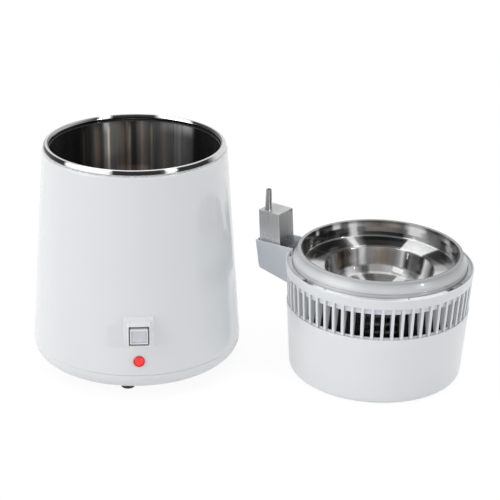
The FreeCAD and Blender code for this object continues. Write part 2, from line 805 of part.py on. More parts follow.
def make_sockets():
    wide = inlet_width / 2
    tall = inlet_tall / 2
    gap = inlet_screw_spacing / 2
    body = block(-wide, wide, -inlet_flange, inlet_depth, -tall, tall)
    flange = block(-gap - inlet_ear, gap + inlet_ear, -inlet_flange, frame_grip,
                   -tall - inlet_margin, tall + inlet_margin)
    inlet = on_wall(flange, inlet_height, 90).cut(shell_core(trim)).fuse(on_wall(body, inlet_height, 90))
    pocket = block(-wide + inlet_wall, wide - inlet_wall, -cut_reach, inlet_depth - inlet_back_wall,
                   -tall + inlet_wall, tall - inlet_wall)
    pin_wide, pin_long, pin_tall = inlet_pin_size
    pins = [block(x - pin_wide / 2, x + pin_wide / 2, inlet_pin_start, inlet_pin_start + pin_long,
                  z - pin_tall / 2, z + pin_tall / 2) for x, z in inlet_pin_spots]
    bores = [wall_rod(inlet_screw_radius + slip, -cut_reach, cut_reach, side * gap) for side in (-1, 1)]
    for cutter in [pocket] + bores + pins:
        inlet = inlet.cut(on_wall(cutter, inlet_height, 90))
    save_boiler("mains_inlet", inlet)
    save_boiler("inlet_pins", [on_wall(pin, inlet_height, 90) for pin in pins])
    screws = [screw(V(side * gap, -inlet_flange, 0), V(0, 1, 0), inlet_screw_radius, inlet_screw_length)
              for side in (-1, 1)]
    save_boiler("inlet_screws", [on_wall(piece, inlet_height, 90) for piece in screws])
    angle = 90 + outlet_angle
    ring = on_wall(wall_rod(outlet_radius + outlet_rim, -outlet_proud, frame_grip), inlet_height, angle)
    barrel = on_wall(wall_rod(outlet_radius, -outlet_proud, outlet_depth), inlet_height, angle)
    socket = ring.cut(shell_core(trim)).fuse(barrel)
    for side in (-1, 1):
        hole = wall_rod(outlet_hole_radius, -outlet_proud - 1, outlet_hole_depth, side * outlet_hole_side)
        socket = socket.cut(on_wall(hole, inlet_height, angle))
    save_boiler("fan_socket", socket)


# Head: cover.
motor_screw_spots = [(side * (bracket_length / 2 - bracket_screw_inset), 0.0) for side in (-1, 1)]
cover_screw_angles = [45.0 + 90 * k for k in range(4)]
cover_screw_circle = hoop_outer_radius - hoop_wall - cover_screw_inset


def make_cover():
    foot_round = cover_round
    hollow_round = cover_round - cover_wall
    foot_inset = foot_round * (1 - math.sqrt(0.5))
    hollow_inset = hollow_round * (1 - math.sqrt(0.5))
    outer_low = cover_radius(foot_round)
    inner_low = outer_low - cover_wall
    foot_corner = (outer_low - foot_round, 0)
    foot_arc = ((outer_low - foot_inset, foot_inset), (outer_low, foot_round))
    shell = turned([
        (0, 0), foot_corner, foot_arc, (cover_top_radius, cover_top),
        (cover_top_radius - cover_wall, cover_top), (inner_low, cover_floor + hollow_round),
        ((inner_low - hollow_inset, cover_floor + hollow_inset), (inner_low - hollow_round, cover_floor)),
        (0, cover_floor)])
    outside = turned([(0, 0), foot_corner, foot_arc, (cover_top_radius, cover_top), (0, cover_top)])
    adds = []
    cuts = []
    for k in range(intake_bars):
        for inner, outer in intake_rings:
            bar = block(inner, outer, -intake_slot / 2, intake_slot / 2, -1, cover_floor + 1)
            cuts.append(turn(bar, 360 / intake_bars * k))
    for x, y in motor_screw_spots:
        adds.append(cylinder(motor_post_radius, cover_floor - 1, motor_bottom, x, y))
        cuts.append(cylinder(motor_post_hole, cover_floor, motor_bottom + 1, x, y))
    for angle in cover_screw_angles:
        spot = around(cover_screw_circle, angle)
        adds.append(cylinder(cover_post_radius, cover_floor - 1, hoop_bottom, spot.x, spot.y))
        tie = block(cover_screw_circle, cover_radius(0) - 1, -cover_tie_half, cover_tie_half,
                    cover_floor - 1, hoop_bottom - cover_tie_drop)
        adds.append(turn(tie, angle))
        hole_bottom = hoop_bottom - cover_screw_length
        cuts.append(cylinder(cover_post_hole, hole_bottom, hoop_bottom + 1, spot.x, spot.y))
    face = cover_radius(head_inlet_height)
    port = level_rod(head_inlet_radius + slip, face - head_inlet_depth, face + cut_reach, head_inlet_height)
    cuts.append(turn(port, head_inlet_angle))
    save_head("head_cover", joined([shell] + adds).common(outside).cut(Part.makeCompound(cuts)))

    front = face + head_inlet_proud
    barrel = level_rod(head_inlet_radius, face - head_inlet_depth, front, head_inlet_height)
    lip = level_rod(head_inlet_radius + head_inlet_rim, front - 5, front, head_inlet_height)
    core = Part.makeCone(cover_foot_radius + trim, cover_top_radius + trim, cover_top, V(0, 0, 0))
    pocket_radius = head_inlet_radius - head_inlet_wall
    pocket = level_rod(pocket_radius, face - head_inlet_pocket, front + 1, head_inlet_height)
    pins = [rod(V(face - head_pin_back, side * head_pin_side, head_inlet_height),
                V(face - head_pin_recess, side * head_pin_side, head_inlet_height), head_pin_radius)
            for side in (-1, 1)]
    inlet = lip.cut(core).fuse(barrel).cut(pocket).cut(Part.makeCompound(pins))
    save_head("fan_inlet", turn(inlet, head_inlet_angle))
    save_head("fan_inlet_pins", [turn(pin, head_inlet_angle) for pin in pins])


# Head: vent ring and arm.
def vane_shape():
    """One upright vane in the gap under the rim band, hollowed on its inner edge."""
    foot = cover_top + vane_seat
    top = carrier_bottom - seat
    step = band_bottom + vane_step
    inner_top = band_radius(band_bottom) - vane_depth
    outline = [
        V(hoop_outer_radius - hoop_wall + 0.4, 0, foot),
        V(cover_top_radius - 1.0, 0, foot),
        V(band_radius(band_bottom) - 0.1, 0, step),
        V(carrier_outer_radius + seat, 0, step),
        V(carrier_outer_radius + seat, 0, top),
        V(inner_top, 0, top)]
    hollow = V(inner_top + vane_hollow, 0, foot + 0.3 * (carrier_bottom - foot))
    edges = [Part.makeLine(start, end) for start, end in zip(outline, outline[1:])]
    edges.append(Part.Arc(outline[-1], hollow, outline[0]).toShape())
    vane = Part.Face(Part.Wire(edges)).extrude(V(0, vane_width, 0))
    vane.translate(V(0, -vane_width / 2, 0))
    return vane


def make_vent_ring():
    band = turned([
        (band_radius(band_bottom), band_bottom),
        (band_radius(band_top - rim_corner), band_top - rim_corner),
        (band_radius(band_top) - rim_corner, band_top),
        (band_radius(band_top) - band_wall, band_top),
        (band_radius(band_bottom) - band_wall, band_bottom)])
    hoop_inner = hoop_outer_radius - hoop_wall
    hoop = tube(hoop_outer_radius, hoop_inner, hoop_bottom, hoop_top)
    vane = vane_shape()
    clear = math.degrees(math.asin((arm_half_width + vane_width) / carrier_outer_radius))
    vanes = []
    for k in range(int(360 / vane_pitch) + 1):
        angle = vane_start - arm_angle + vane_pitch * k
        apart = abs((angle + 180) % 360 - 180)
        if apart > clear and vane_pitch * k < 360 - vane_pitch / 2:
            vanes.append(turn(vane, angle))
    adds = []
    cuts = []
    for angle in cover_screw_angles:
        spot = around(cover_screw_circle, angle)
        ear = cylinder(cover_post_radius, hoop_bottom, hoop_bottom + hoop_ear, spot.x, spot.y)
        bridge = block(cover_screw_circle, hoop_inner + 0.5, -cover_post_radius, cover_post_radius,
                       hoop_bottom, hoop_bottom + hoop_ear)
        adds.append(ear.fuse(turn(bridge, angle)))
        cuts.append(cylinder(hoop_screw_radius + slip, hoop_bottom - 1, hoop_top + 1, spot.x, spot.y))
    gap = arm_half_width + slip
    cuts.append(block(hoop_inner - 4, arm_length, -gap, gap, hoop_top, band_top + 1))
    for y in (-arm_screw_side, arm_screw_side):
        post = hoop_inner - arm_post_inset
        adds.append(cylinder(arm_post_radius, hoop_bottom, hoop_top, post, y))
        cuts.append(cylinder(hoop_screw_radius - hoop_screw_bite, hoop_bottom + 1, hoop_top + 1, post, y))
    ring = band.multiFuse([hoop] + vanes).multiFuse(adds).cut(Part.makeCompound(cuts))
    save_head("vent_ring", ring)
    spots = [around(cover_screw_circle, angle, hoop_bottom + hoop_ear) for angle in cover_screw_angles]
    shank = hoop_screw_radius - hoop_screw_shank
    save_head("cover_screws", [screw(spot, V(0, 0, -1), shank, cover_screw_length) for spot in spots])


def arm_outline(inset):
    """Side view of the arm, or of its hollow where inset is the wall."""
    end_x = arm_length - inset
    start_x, start_z = arm_floor_start
    floor_x, floor_z = arm_floor_end
    slope = (floor_z - start_z) / (floor_x - start_x)
    lift = inset * math.sqrt(1 + slope ** 2)
    top = arm_top + (5 if inset else 0)
    inner_end = arm_inner_end - (9 if inset else 0)
    top_x = end_x - arm_end_lean * (arm_top - top) / (arm_top - arm_corner_height)
    return [
        (inner_end, hoop_top + inset), (start_x - arm_floor_step, hoop_top + inset),
        (start_x, start_z + lift), (floor_x, floor_z + lift),
        (end_x - arm_end_lean - arm_floor_bevel, floor_z + arm_floor_bevel + lift),
        (end_x - arm_end_lean, arm_corner_height + lift * 0.5),
        (top_x, top), (inner_end, top)]


def make_arm():
    outer = slab(arm_outline(0.0), arm_half_width)
    arm = outer.cut(slab(arm_outline(arm_wall), arm_half_width - arm_wall))
    fence = cylinder(carrier_outer_radius + seat, hoop_top - 9, arm_top + 9)
    tongue = block(arm_inner_end - arm_tongue, carrier_outer_radius + 1, -arm_tongue_half, arm_tongue_half,
                   hoop_top, hoop_top + arm_wall)
    arm = arm.cut(fence).fuse(tongue)
    ribs = []
    for spot in arm_rib_spots:
        x = cup_reach + spot
        for side in (-1, 1):
            near = side * (cup_width / 2 - arm_rib_inset)
            far = side * (arm_half_width - arm_rib_sink)
            rib = block(x, x + arm_rib_width, min(near, far), max(near, far), arm_floor_start[1], cup_bottom)
            ribs.append(rib.common(outer))
    arm = arm.multiFuse(ribs)
    post = hoop_outer_radius - hoop_wall - arm_post_inset
    holes = [cylinder(hoop_screw_radius + slip, hoop_top - 1, hoop_top + arm_wall + 1, post, y)
             for y in (-arm_screw_side, arm_screw_side)]
    save_head("outlet_arm", arm.cut(Part.makeCompound(holes)).removeSplitter())
    spots = [V(post, y, hoop_top + arm_wall) for y in (-arm_screw_side, arm_screw_side)]
    shank = hoop_screw_radius - hoop_screw_shank
    save_head("arm_screws", [screw(spot, V(0, 0, -1), shank, arm_screw_length) for spot in spots])


# Head: carrier, dish and gasket.
def make_carrier():
    wall_inner = carrier_outer_radius - carrier_wall
    ring = turned([
        (wall_inner, carrier_bottom), (carrier_outer_radius, carrier_bottom),
        (carrier_outer_radius, carrier_top), (wall_inner, carrier_top),
        (wall_inner, shelf_top), (shelf_inner_radius, shelf_top),
        (shelf_inner_radius, shelf_top - shelf_thickness), (wall_inner, shelf_top - shelf_thickness)])
    cuts = []
    for start, end in carrier_notches:
        wedge = Part.makeCylinder(carrier_outer_radius + 5, cut_reach, V(0, 0, shelf_top + notch_floor),
                                  V(0, 0, 1), end - start)
        cuts.append(turn(wedge, start - arm_angle))
    gap = arm_half_width + arm_room
    cuts.append(block(wall_inner - 6, arm_length, -gap, gap, carrier_bottom - 1, carrier_top + 1))
    save_head("dish_carrier", ring.cut(Part.makeCompound(cuts)))


def make_dish():
    wall = dish_wall
    lift = dish_floor_height + dish_corner
    corner_radius = bowl_base_radius + bowl_corner_reach
    corner_height = bowl_base_height + bowl_corner_rise
    inside = bowl_corner_middle
    outside = bowl_corner_middle_outside
    dish = turned([
        (0, bowl_base_height), (bowl_base_radius, bowl_base_height),
        ((bowl_base_radius + inside[0], bowl_base_height + inside[1]), (corner_radius, corner_height)),
        (bowl_rim_radius - 1.4, bowl_rim_height - 1.6),
        ((bowl_rim_radius - 0.9, bowl_rim_height - 0.4), (bowl_rim_radius, bowl_rim_height)),
        (dish_floor_radius - dish_corner, dish_floor_height),
        ((dish_floor_radius - 0.5, dish_floor_height + 0.5), (dish_floor_radius, lift)),
        (dish_edge_radius, dish_edge_height), (dish_edge_radius + wall, dish_edge_height),
        (dish_floor_radius + wall, lift),
        ((dish_floor_radius + wall - 0.7, dish_floor_height - 0.3),
         (dish_floor_radius - dish_corner, dish_floor_height - wall)),
        (bowl_rim_radius + 0.6, bowl_rim_height - wall),
        (bowl_rim_radius - 1.4 + wall, bowl_rim_height - 3.0),
        (corner_radius + wall, corner_height),
        ((bowl_base_radius + outside[0], bowl_base_height + outside[1]),
         (bowl_base_radius, bowl_base_height - wall)),
        (0, bowl_base_height - wall)])
    near = around(bowl_base_radius - bowl_corner_reach, steam_angle, steam_port_height)
    far = around(bowl_base_radius + steam_bend_reach, steam_angle, steam_port_height)
    save_head("condenser_dish", dish.cut(rod(near, far, coil_tube_radius + running)))


def make_gasket():
    wall = dish_wall + slip
    low = shelf_top + gasket_foot_gap
    lift = dish_floor_height + dish_corner
    groove = gasket_groove
    groove_height = gasket_shoulder_height - gasket_groove_drop
    gasket = turned([
        (dish_floor_radius + wall + 0.9, low), (gasket_outer_radius, low),
        (gasket_outer_radius, groove_height - groove), (gasket_outer_radius - groove, groove_height),
        (gasket_outer_radius, groove_height + groove), (gasket_outer_radius, gasket_shoulder_height - 1),
        ((gasket_outer_radius - 0.5, gasket_shoulder_height + 0.5),
         (gasket_outer_radius - 1.2, gasket_shoulder_height + 1.4)),
        (gasket_top_radius + 0.6, gasket_top - 1.0),
        ((gasket_top_radius + 0.1, gasket_top - 0.2), (gasket_top_radius - 0.8, gasket_top)),
        (dish_edge_radius + wall + 0.2, gasket_top),
        (dish_floor_radius + wall, lift)])
    save_head("silicone_gasket", gasket)


# Head: condenser coil and fins.
def coil_level(k):
    return coil_bottom + coil_pitch * k


def fitting(place):
    """Brazed block that joins two runs of the coil."""
    half = coil_tube_radius + fitting_wall
    return cylinder(half, place.z - half, place.z + half, place.x, place.y)


def make_coil():
    radius = coil_tube_radius
    arcs_per_turn = 3
    last = coil_levels - 1
    pieces = []
    for k in range(coil_levels):
        start = steam_angle if k == 0 else crossover[1]
        end = 360.0 if k == last else 360.0 + crossover[0]
        span = (end - start) / arcs_per_turn
        arc = Part.makeTorus(coil_radius, radius, V(0, 0, coil_level(k)), V(0, 0, 1), -180, 180, span)
        pieces += [turn(arc, start + span * part) for part in range(arcs_per_turn)]
        if k < last:
            low = around(coil_radius, crossover[0], coil_level(k))
            high = around(coil_radius, crossover[1], coil_level(k + 1))
            pieces += [rod(low, high, radius), fitting(low), fitting(high)]
    corner = around(coil_radius, 0, coil_level(last))
    outlet = V(outlet_reach, 0, coil_level(last))
    tip = V(outlet_reach, 0, cup_bottom + outlet_tip_rise)
    pieces += [fitting(corner), rod(corner, outlet, radius), fitting(outlet), rod(outlet, tip, radius)]
    coil = pieces[0].multiFuse(pieces[1:])
    coil = coil.cut(rod(outlet, tip + V(0, 0, 1), radius - fitting_wall))
    save_head("condenser_coil", coil)

    pipe_radius = radius - steam_tube_step
    knee_radius = radius - steam_knee
    port = around(bowl_base_radius + steam_port_reach, steam_angle, steam_port_height)
    bend = around(bowl_base_radius + steam_bend_reach, steam_angle, steam_port_height)
    drop = around(bowl_base_radius + steam_bend_reach, steam_angle, coil_level(0))
    join = around(coil_radius, steam_angle, coil_level(0))
    runs = [Part.makeSphere(knee_radius, bend), rod(bend, drop, pipe_radius),
            Part.makeSphere(knee_radius, drop), rod(drop, join, pipe_radius)]
    pipe = rod(port, bend, pipe_radius).multiFuse(runs).cut(rod(port, bend, pipe_radius - steam_tube_wall))
    save_head("steam_tube", pipe.cut(coil))


def make_fins():
    fin = slab([(fin_inner_radius, fin_bottom), (fin_outer_radius, fin_bottom), (fin_outer_radius, fin_top),
                (fin_inner_radius, fin_top)], fin_thickness / 2)
    for k in range(coil_levels):
        hole = wall_rod(coil_tube_radius + slip, -2, 2, coil_radius)
        fin = fin.cut(at(hole, V(0, 0, coil_level(k))))
    first = crossover[1] + fin_pitch
    count = int((360 - first - fin_end_gap) / fin_pitch) + 1
    angles = [first + fin_pitch * k for k in range(count)]
    save_head("condenser_fins", [turn(fin, a) for a in angles if abs(a - steam_angle) > fin_pitch * 1.4])


# Head: fan and motor.
def make_motor():
    low = motor_bottom + bracket_thickness
    high = low + motor_core_height
    wide = motor_width / 2
    deep = motor_depth / 2
    strap_half = bracket_width / 2
    slot_half, slot_near, slot_far = motor_slot
    core = block(-wide, wide, -deep, deep, low, high)
    core = core.cut(cylinder(motor_bore, low - 1, high + 1))
    core = core.cut(block(-slot_half, slot_half, slot_near, slot_far, low - 1, high + 1))
    save_head("motor_core", core)
    over_core = block(-winding_half, winding_half, strap_half + 0.5, winding_outer,
                      high + seat, high + winding_rise)
    over_core = over_core.cut(cylinder(winding_bore, high - 1, high + winding_rise + 2))
    in_slot = block(-winding_half, winding_half, winding_inner, winding_outer, low + 0.5, high + 1)
    save_head("motor_winding", over_core.fuse(in_slot))
    half = bracket_length / 2
    strap = block(-half, half, -strap_half, strap_half, motor_bottom, low)
    boss = cylinder(bearing_radius, motor_bottom, low + bottom_bearing_rise)
    hole_radius = bracket_hole_radius + slip
    cuts = [cylinder(hole_radius, motor_bottom - 1, low + 1, x, y) for x, y in motor_screw_spots]
    cuts.append(cylinder(shaft_radius + running, motor_bottom - 1, high + 9))
    save_head("motor_bracket", strap.fuse(boss).cut(Part.makeCompound(cuts)))
    screws = [screw(V(x, y, low), V(0, 0, -1), bracket_screw_radius, bracket_screw_length)
              for x, y in motor_screw_spots]
    save_head("bracket_screws", screws)
    bar = block(-wide, wide, -strap_half, strap_half, high, high + bracket_thickness)
    bearing = cylinder(bearing_radius, high, high + bearing_height)
    bar = bar.fuse(bearing).cut(cylinder(shaft_radius + running, high - 1, high + 9))
    save_head("motor_top_bearing", bar)
    rotor = cylinder(rotor_radius, low + rotor_gap[0], high - rotor_gap[1])
    save_head("motor_rotor", rotor.cut(cylinder(shaft_radius + running, low, high)))
    save_head("fan_shaft", cylinder(shaft_radius, motor_bottom - shaft_tail,
                                    fan_bottom + fan_hub_height - shaft_inset))


def make_fan():
    top = fan_bottom + fan_hub_height
    middle = (fan_bottom + top) / 2
    hub = cylinder(fan_hub_radius, fan_bottom, top)
    hub = hub.cut(cylinder(fan_hub_radius - fan_hub_wall, fan_bottom - 1, top - fan_hub_top))
    hub = hub.fuse(cylinder(shaft_radius + fan_boss_wall, fan_bottom, top))
    limit = tube(fan_radius, fan_hub_radius - 1, fan_bottom - cut_reach, top + cut_reach)
    blade = block(fan_hub_radius - 2, fan_radius + 5, -blade_chord / 2, blade_chord / 2,
                  middle - blade_thickness / 2, middle + blade_thickness / 2)
    blade.rotate(V(0, 0, middle), V(1, 0, 0), blade_lean)
    blade = blade.common(limit)
    blades = [turn(blade, 360 / fan_blades * k) for k in range(fan_blades)]
    bore = cylinder(shaft_radius + running, fan_bottom - 1, top - shaft_inset + running)
    save_head("fan_blades", hub.multiFuse(blades).cut(bore))


# Nozzle cup.
def cup_shape(inset, low, high):
    """Tapered box of the cup at its own centre; inset moves every wall inwards."""
    def rectangle(z):
        down = (cup_top - z) / (cup_top - cup_bottom)
        x0 = -cup_length / 2 - cup_inner_taper * down + inset
        x1 = cup_length / 2 - cup_outer_taper * down - inset
        y = cup_width / 2 - inset
        corners = [V(x0, -y, z), V(x1, -y, z), V(x1, y, z), V(x0, y, z)]
        return Part.makePolygon(corners + corners[:1])

    return Part.makeLoft([rectangle(low), rectangle(high)], True, True)


def place_cup(shape):
    copy = shape.copy()
    copy.rotate(V(0, 0, 0), V(0, 0, 1), cup_turn)
    copy.translate(V(cup_reach, 0, 0))
    return copy


def make_cup():
    outer = cup_shape(0.0, cup_bottom, cup_top)
    hollow = cup_shape(cup_wall, cup_bottom - 0.001, cup_top - cup_wall)
    bore = cylinder(nozzle_bore_radius, cup_top - cup_wall - 1, nozzle_top + 1, nozzle_reach, nozzle_side)
    save_head("nozzle_cup", place_cup(outer.cut(hollow)).cut(bore))
    foot = V(nozzle_reach, nozzle_side, cup_top)
    nozzle = Part.makeCone(nozzle_base_radius, nozzle_tip_radius, nozzle_top - cup_top, foot)
    tip = [edge for edge in nozzle.Edges if edge.BoundBox.ZMin > nozzle_top - 0.01]
    save_head("nozzle_tube", nozzle.makeFillet(nozzle_round, tip).cut(bore))
    pod_top = cup_top - cup_wall - pod_gap
    pod = cup_shape(cup_wall + pod_clearance / 2, pod_top - pod_height, pod_top)
    save_head("charcoal_pod", place_cup(pod))


make_shell()
make_base()
make_feet()
rim_height = make_pot()
make_heater()
make_shield()
make_switch()
make_lamp()
make_sockets()
make_cover()
make_vent_ring()
make_arm()
make_carrier()
make_dish()
make_gasket()
make_coil()
make_fins()
make_motor()
make_fan()
make_cup()

for name, count, volume, valid in saved:
    print("%-22s %3d solids %10.1f mm3 %s" % (name, count, volume, "valid" if valid else "NOT VALID"))
print("nodes %d, boiler height %.2f" % (len(saved), rim_height), "boiler", boiler_spot, "head", head_spot)
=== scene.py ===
import json
import math
import bpy
import bmesh
import numpy as np
from mathutils import Matrix, Vector


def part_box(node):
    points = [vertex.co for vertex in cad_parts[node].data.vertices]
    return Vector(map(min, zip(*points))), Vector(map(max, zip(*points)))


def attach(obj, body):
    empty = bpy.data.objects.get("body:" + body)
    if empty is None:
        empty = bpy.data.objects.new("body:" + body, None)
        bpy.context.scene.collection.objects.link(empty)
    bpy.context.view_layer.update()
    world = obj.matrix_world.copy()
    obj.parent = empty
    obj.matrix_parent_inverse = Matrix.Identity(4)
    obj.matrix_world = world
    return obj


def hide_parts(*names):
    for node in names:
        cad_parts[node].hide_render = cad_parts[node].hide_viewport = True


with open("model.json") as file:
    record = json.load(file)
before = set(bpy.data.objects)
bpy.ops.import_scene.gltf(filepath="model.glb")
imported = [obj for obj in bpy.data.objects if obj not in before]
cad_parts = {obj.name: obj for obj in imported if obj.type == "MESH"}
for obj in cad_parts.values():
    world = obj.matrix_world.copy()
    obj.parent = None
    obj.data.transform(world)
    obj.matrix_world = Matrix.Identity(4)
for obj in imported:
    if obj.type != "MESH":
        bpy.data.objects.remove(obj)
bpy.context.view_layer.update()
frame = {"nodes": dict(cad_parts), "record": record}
mm = 0.001


def middleOf(node):
    # the middle of a node's box, at floor height
    low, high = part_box(node)
    return np.array([(low.x + high.x) / 2, (low.y + high.y) / 2, 0.0])


boilerMiddle = middleOf("rim_bead")
headMiddle = middleOf("silicone_gasket")
armTurn = math.radians(143.2)          # the arm's direction seen from the head's middle


# Surfaces from arrays. A piece is a grid of points: rows follow a profile, columns follow the sweep.

def eased(points, reach, steps=5, closed=False):
    # softened corners: B between runs AB and BC becomes (1-s)^2 P + 2s(1-s) B + s^2 Q,
    # where P and Q lie up to reach away from B on its two runs
    line = np.asarray(points, float)
    corner = line if closed else line[1:-1]
    before = np.roll(line, 1, 0) if closed else line[:-2]
    after = np.roll(line, -1, 0) if closed else line[2:]
    back, ahead = before - corner, after - corner
    backLength = np.linalg.norm(back, axis=1, keepdims=True)
    aheadLength = np.linalg.norm(ahead, axis=1, keepdims=True)
    room = np.broadcast_to(np.asarray(reach, float), (len(corner),))[:, None]
    start = corner + back / backLength * np.minimum(room, backLength * 0.49)
    end = corner + ahead / aheadLength * np.minimum(room, aheadLength * 0.49)
    s = np.linspace(0, 1, steps)[None, :, None]
    curve = (1 - s) ** 2 * start[:, None] + 2 * s * (1 - s) * corner[:, None] + s ** 2 * end[:, None]
    curve = curve.reshape(-1, line.shape[1])
    return curve if closed else np.vstack([line[:1], curve, line[-1:]])


def finer(points, step):
    # the same line with extra points, so that no run is longer than step
    line = np.asarray(points, float)
    runs = np.linalg.norm(np.diff(line, axis=0), axis=1)
    counts = np.maximum(1, np.ceil(runs / step).astype(int))
    along = np.concatenate([[0.0], np.cumsum(runs)])
    parts = [start + (end - start) * np.arange(count) / count
             for start, end, count in zip(along[:-1], along[1:], counts)]
    where = np.concatenate(parts + [along[-1:]])
    return np.stack([np.interp(where, along, line[:, k]) for k in range(line.shape[1])], -1)


def gridFaces(rows, columns, wrapRows, wrapColumns, keep=None):
    # face (a, b) joins points (a, b), (a, b+1), (a+1, b+1) and (a+1, b), numbered row by row
    i = np.arange(rows - (not wrapRows))
    j = np.arange(columns - (not wrapColumns))
    a, b = np.meshgrid(i, j, indexing="ij")
    if keep is not None:
        a, b = a[keep], b[keep]
    a, b = a.ravel(), b.ravel()
    nextA, nextB = (a + 1) % rows, (b + 1) % columns
    return np.stack([a * columns + b, a * columns + nextB, nextA * columns + nextB, nextA * columns + b], -1)


def copiedFaces(faces, copies, pointsEach):
    # the same faces for each copy of a piece, with the copies' points one after another
    starts = np.arange(copies) * pointsEach
    return (faces[None] + starts[:, None, None]).reshape(-1, faces.shape[1])


def meshPiece(name, points, faces, closedShell=True, sharpAngle=35.0, caps=()):
    # one object from points and faces, its doubles merged and a closed shell's faces turned outwards
    mesh = bpy.data.meshes.new(name)
    allFaces = np.asarray(faces).tolist() + [list(cap) for cap in caps]
    mesh.from_pydata(np.asarray(points, float).reshape(-1, 3), [], allFaces)
    work = bmesh.new()
    work.from_mesh(mesh)
    bmesh.ops.remove_doubles(work, verts=work.verts, dist=1e-7)
    if closedShell:
        bmesh.ops.recalc_face_normals(work, faces=work.faces)
    work.to_mesh(mesh)
    work.free()
    mesh.polygons.foreach_set("use_smooth", np.ones(len(mesh.polygons), bool))
    mesh.set_sharp_from_angle(angle=math.radians(sharpAngle))
    piece = bpy.data.objects.new(name, mesh)
    bpy.context.scene.collection.objects.link(piece)
    return piece


def turnedPoints(profile, centre, angles):
    # point (i, j) = centre + (r_i cos a_j, r_i sin a_j, z_i)
    r, z = profile[:, 0:1] * mm, profile[:, 1:2] * mm
    return np.stack([centre[0] + r * np.cos(angles), centre[1] + r * np.sin(angles), z + 0 * angles], -1)


def turnedPiece(name, profile, centre, segments=192, closed=True, keep=None, sharpAngle=35.0):
    # a profile of (radius, height) carried right round the upright axis through centre
    angles = np.arange(segments) * 2 * math.pi / segments
    points = turnedPoints(np.asarray(profile, float), centre, angles)
    mask = keep(points) if keep else None
    faces = gridFaces(len(profile), segments, closed, True, mask)
    return meshPiece(name, points, faces, closed, sharpAngle)


def arcPieces(name, profile, centre, spans, degreesPerStep=1.5, sharpAngle=35.0):
    # the closed profile carried along each span of angles, with its two ends shut
    allPoints, allFaces, caps, offset = [], [], [], 0
    for start, end in spans:
        stepCount = max(2, int(round((end - start) / degreesPerStep)) + 1)
        angles = np.radians(np.linspace(start, end, stepCount))
        points = turnedPoints(np.asarray(profile, float), centre, angles)
        rows, columns = points.shape[:2]
        allPoints.append(points.reshape(-1, 3))
        allFaces.append(gridFaces(rows, columns, True, False) + offset)
        firstColumn = np.arange(rows) * columns + offset
        caps += [firstColumn.tolist(), (firstColumn + columns - 1)[::-1].tolist()]
        offset += rows * columns
    return meshPiece(name, np.vstack(allPoints), np.vstack(allFaces), True, sharpAngle, caps)


def roundedRectangle(halfX, halfY, corner, steps=5):
    # outline of each rectangle: its corner centres plus corner * (cos t, sin t), a quarter turn per corner
    halfX, halfY, corner = (np.atleast_1d(np.asarray(size, float))[:, None, None]
                            for size in (halfX, halfY, corner))
    t = np.linspace(0, math.pi / 2, steps)[None, None, :] + (np.arange(4) * math.pi / 2)[None, :, None]
    signX = np.array([1, -1, -1, 1])[None, :, None]
    signY = np.array([1, 1, -1, -1])[None, :, None]
    x = signX * (halfX - corner) + corner * np.cos(t)
    y = signY * (halfY - corner) + corner * np.sin(t)
    rows = len(x)
    return x.reshape(rows, -1), y.reshape(rows, -1)


def stackedSections(name, rows, place, ring=False, cornerSteps=5):
    # rounded rectangles stacked along the piece's axis: rows of (half x, half y, corner radius, height) and,
    # where they aren't centred, (shift x, shift y); a ring's last row meets its first
    rows = np.asarray(rows, float)
    corner = np.minimum(rows[:, 2], rows[:, :2].min(1))
    x, y = roundedRectangle(rows[:, 0], rows[:, 1], corner, cornerSteps)
    shift = rows[:, 4:6] if rows.shape[1] > 4 else np.zeros((len(rows), 2))
    local = np.stack([x + shift[:, 0:1], y + shift[:, 1:2], rows[:, 3:4] + 0 * x], -1) * mm
    return meshPiece(name, place(local), gridFaces(len(rows), x.shape[1], ring, True))


def wallPlace(height, angle=-90.0, wallLean=4.2294):
    # local x runs round the wall, y up it and the third axis out of it, at a height on the boiler's cone
    lean, turn = math.radians(wallLean), math.radians(angle)
    out = np.array([math.cos(turn) * math.cos(lean), math.sin(turn) * math.cos(lean), math.sin(lean)])
    side = np.array([-math.sin(turn), math.cos(turn), 0.0])
    up = np.cross(out, side)
    radius = shellRadius(height) * mm
    spot = boilerMiddle + np.array([radius * math.cos(turn), radius * math.sin(turn), height * mm])
    return lambda local: spot + local[..., 0:1] * side + local[..., 1:2] * up + local[..., 2:3] * out


def uprightPlace(centre, turn=0.0):
    # the local x and y turned about the upright axis through centre, with the height kept
    cosine, sine = math.cos(turn), math.sin(turn)

    def place(local):
        x, y, z = local[..., 0], local[..., 1], local[..., 2]
        return np.stack([centre[0] + cosine * x - sine * y, centre[1] + sine * x + cosine * y, z], -1)
    return place


def dress(piece, body, material, nodes=()):
    # the piece gets its material and the body it rides on, and the nodes it stands for are hidden
    piece.data.materials.clear()
    piece.data.materials.append(material)
    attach(piece, body)
    if nodes:
        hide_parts(*nodes)
    return piece


def wallThickness(piece, thickness, bevel=0.0):
    solid = piece.modifiers.new("wall", "SOLIDIFY")
    solid.thickness = thickness * mm
    solid.offset = -1.0
    solid.use_even_offset = True
    if bevel:
        soften(piece, bevel)
    return piece


def soften(piece, width, segments=2, angle=40.0):
    edge = piece.modifiers.new("edges", "BEVEL")
    edge.width = width * mm
    edge.segments = segments
    edge.limit_method = "ANGLE"
    edge.angle_limit = math.radians(angle)
    edge.harden_normals = False
    return piece


cone = {"low": 30.0, "high": 239.6, "lowRadius": 112.1, "highRadius": 96.6}


def shellRadius(height):
    # the wall is a straight cone between its two heights
    share = (height - cone["low"]) / (cone["high"] - cone["low"])
    return cone["lowRadius"] + (cone["highRadius"] - cone["lowRadius"]) * share


# Materials

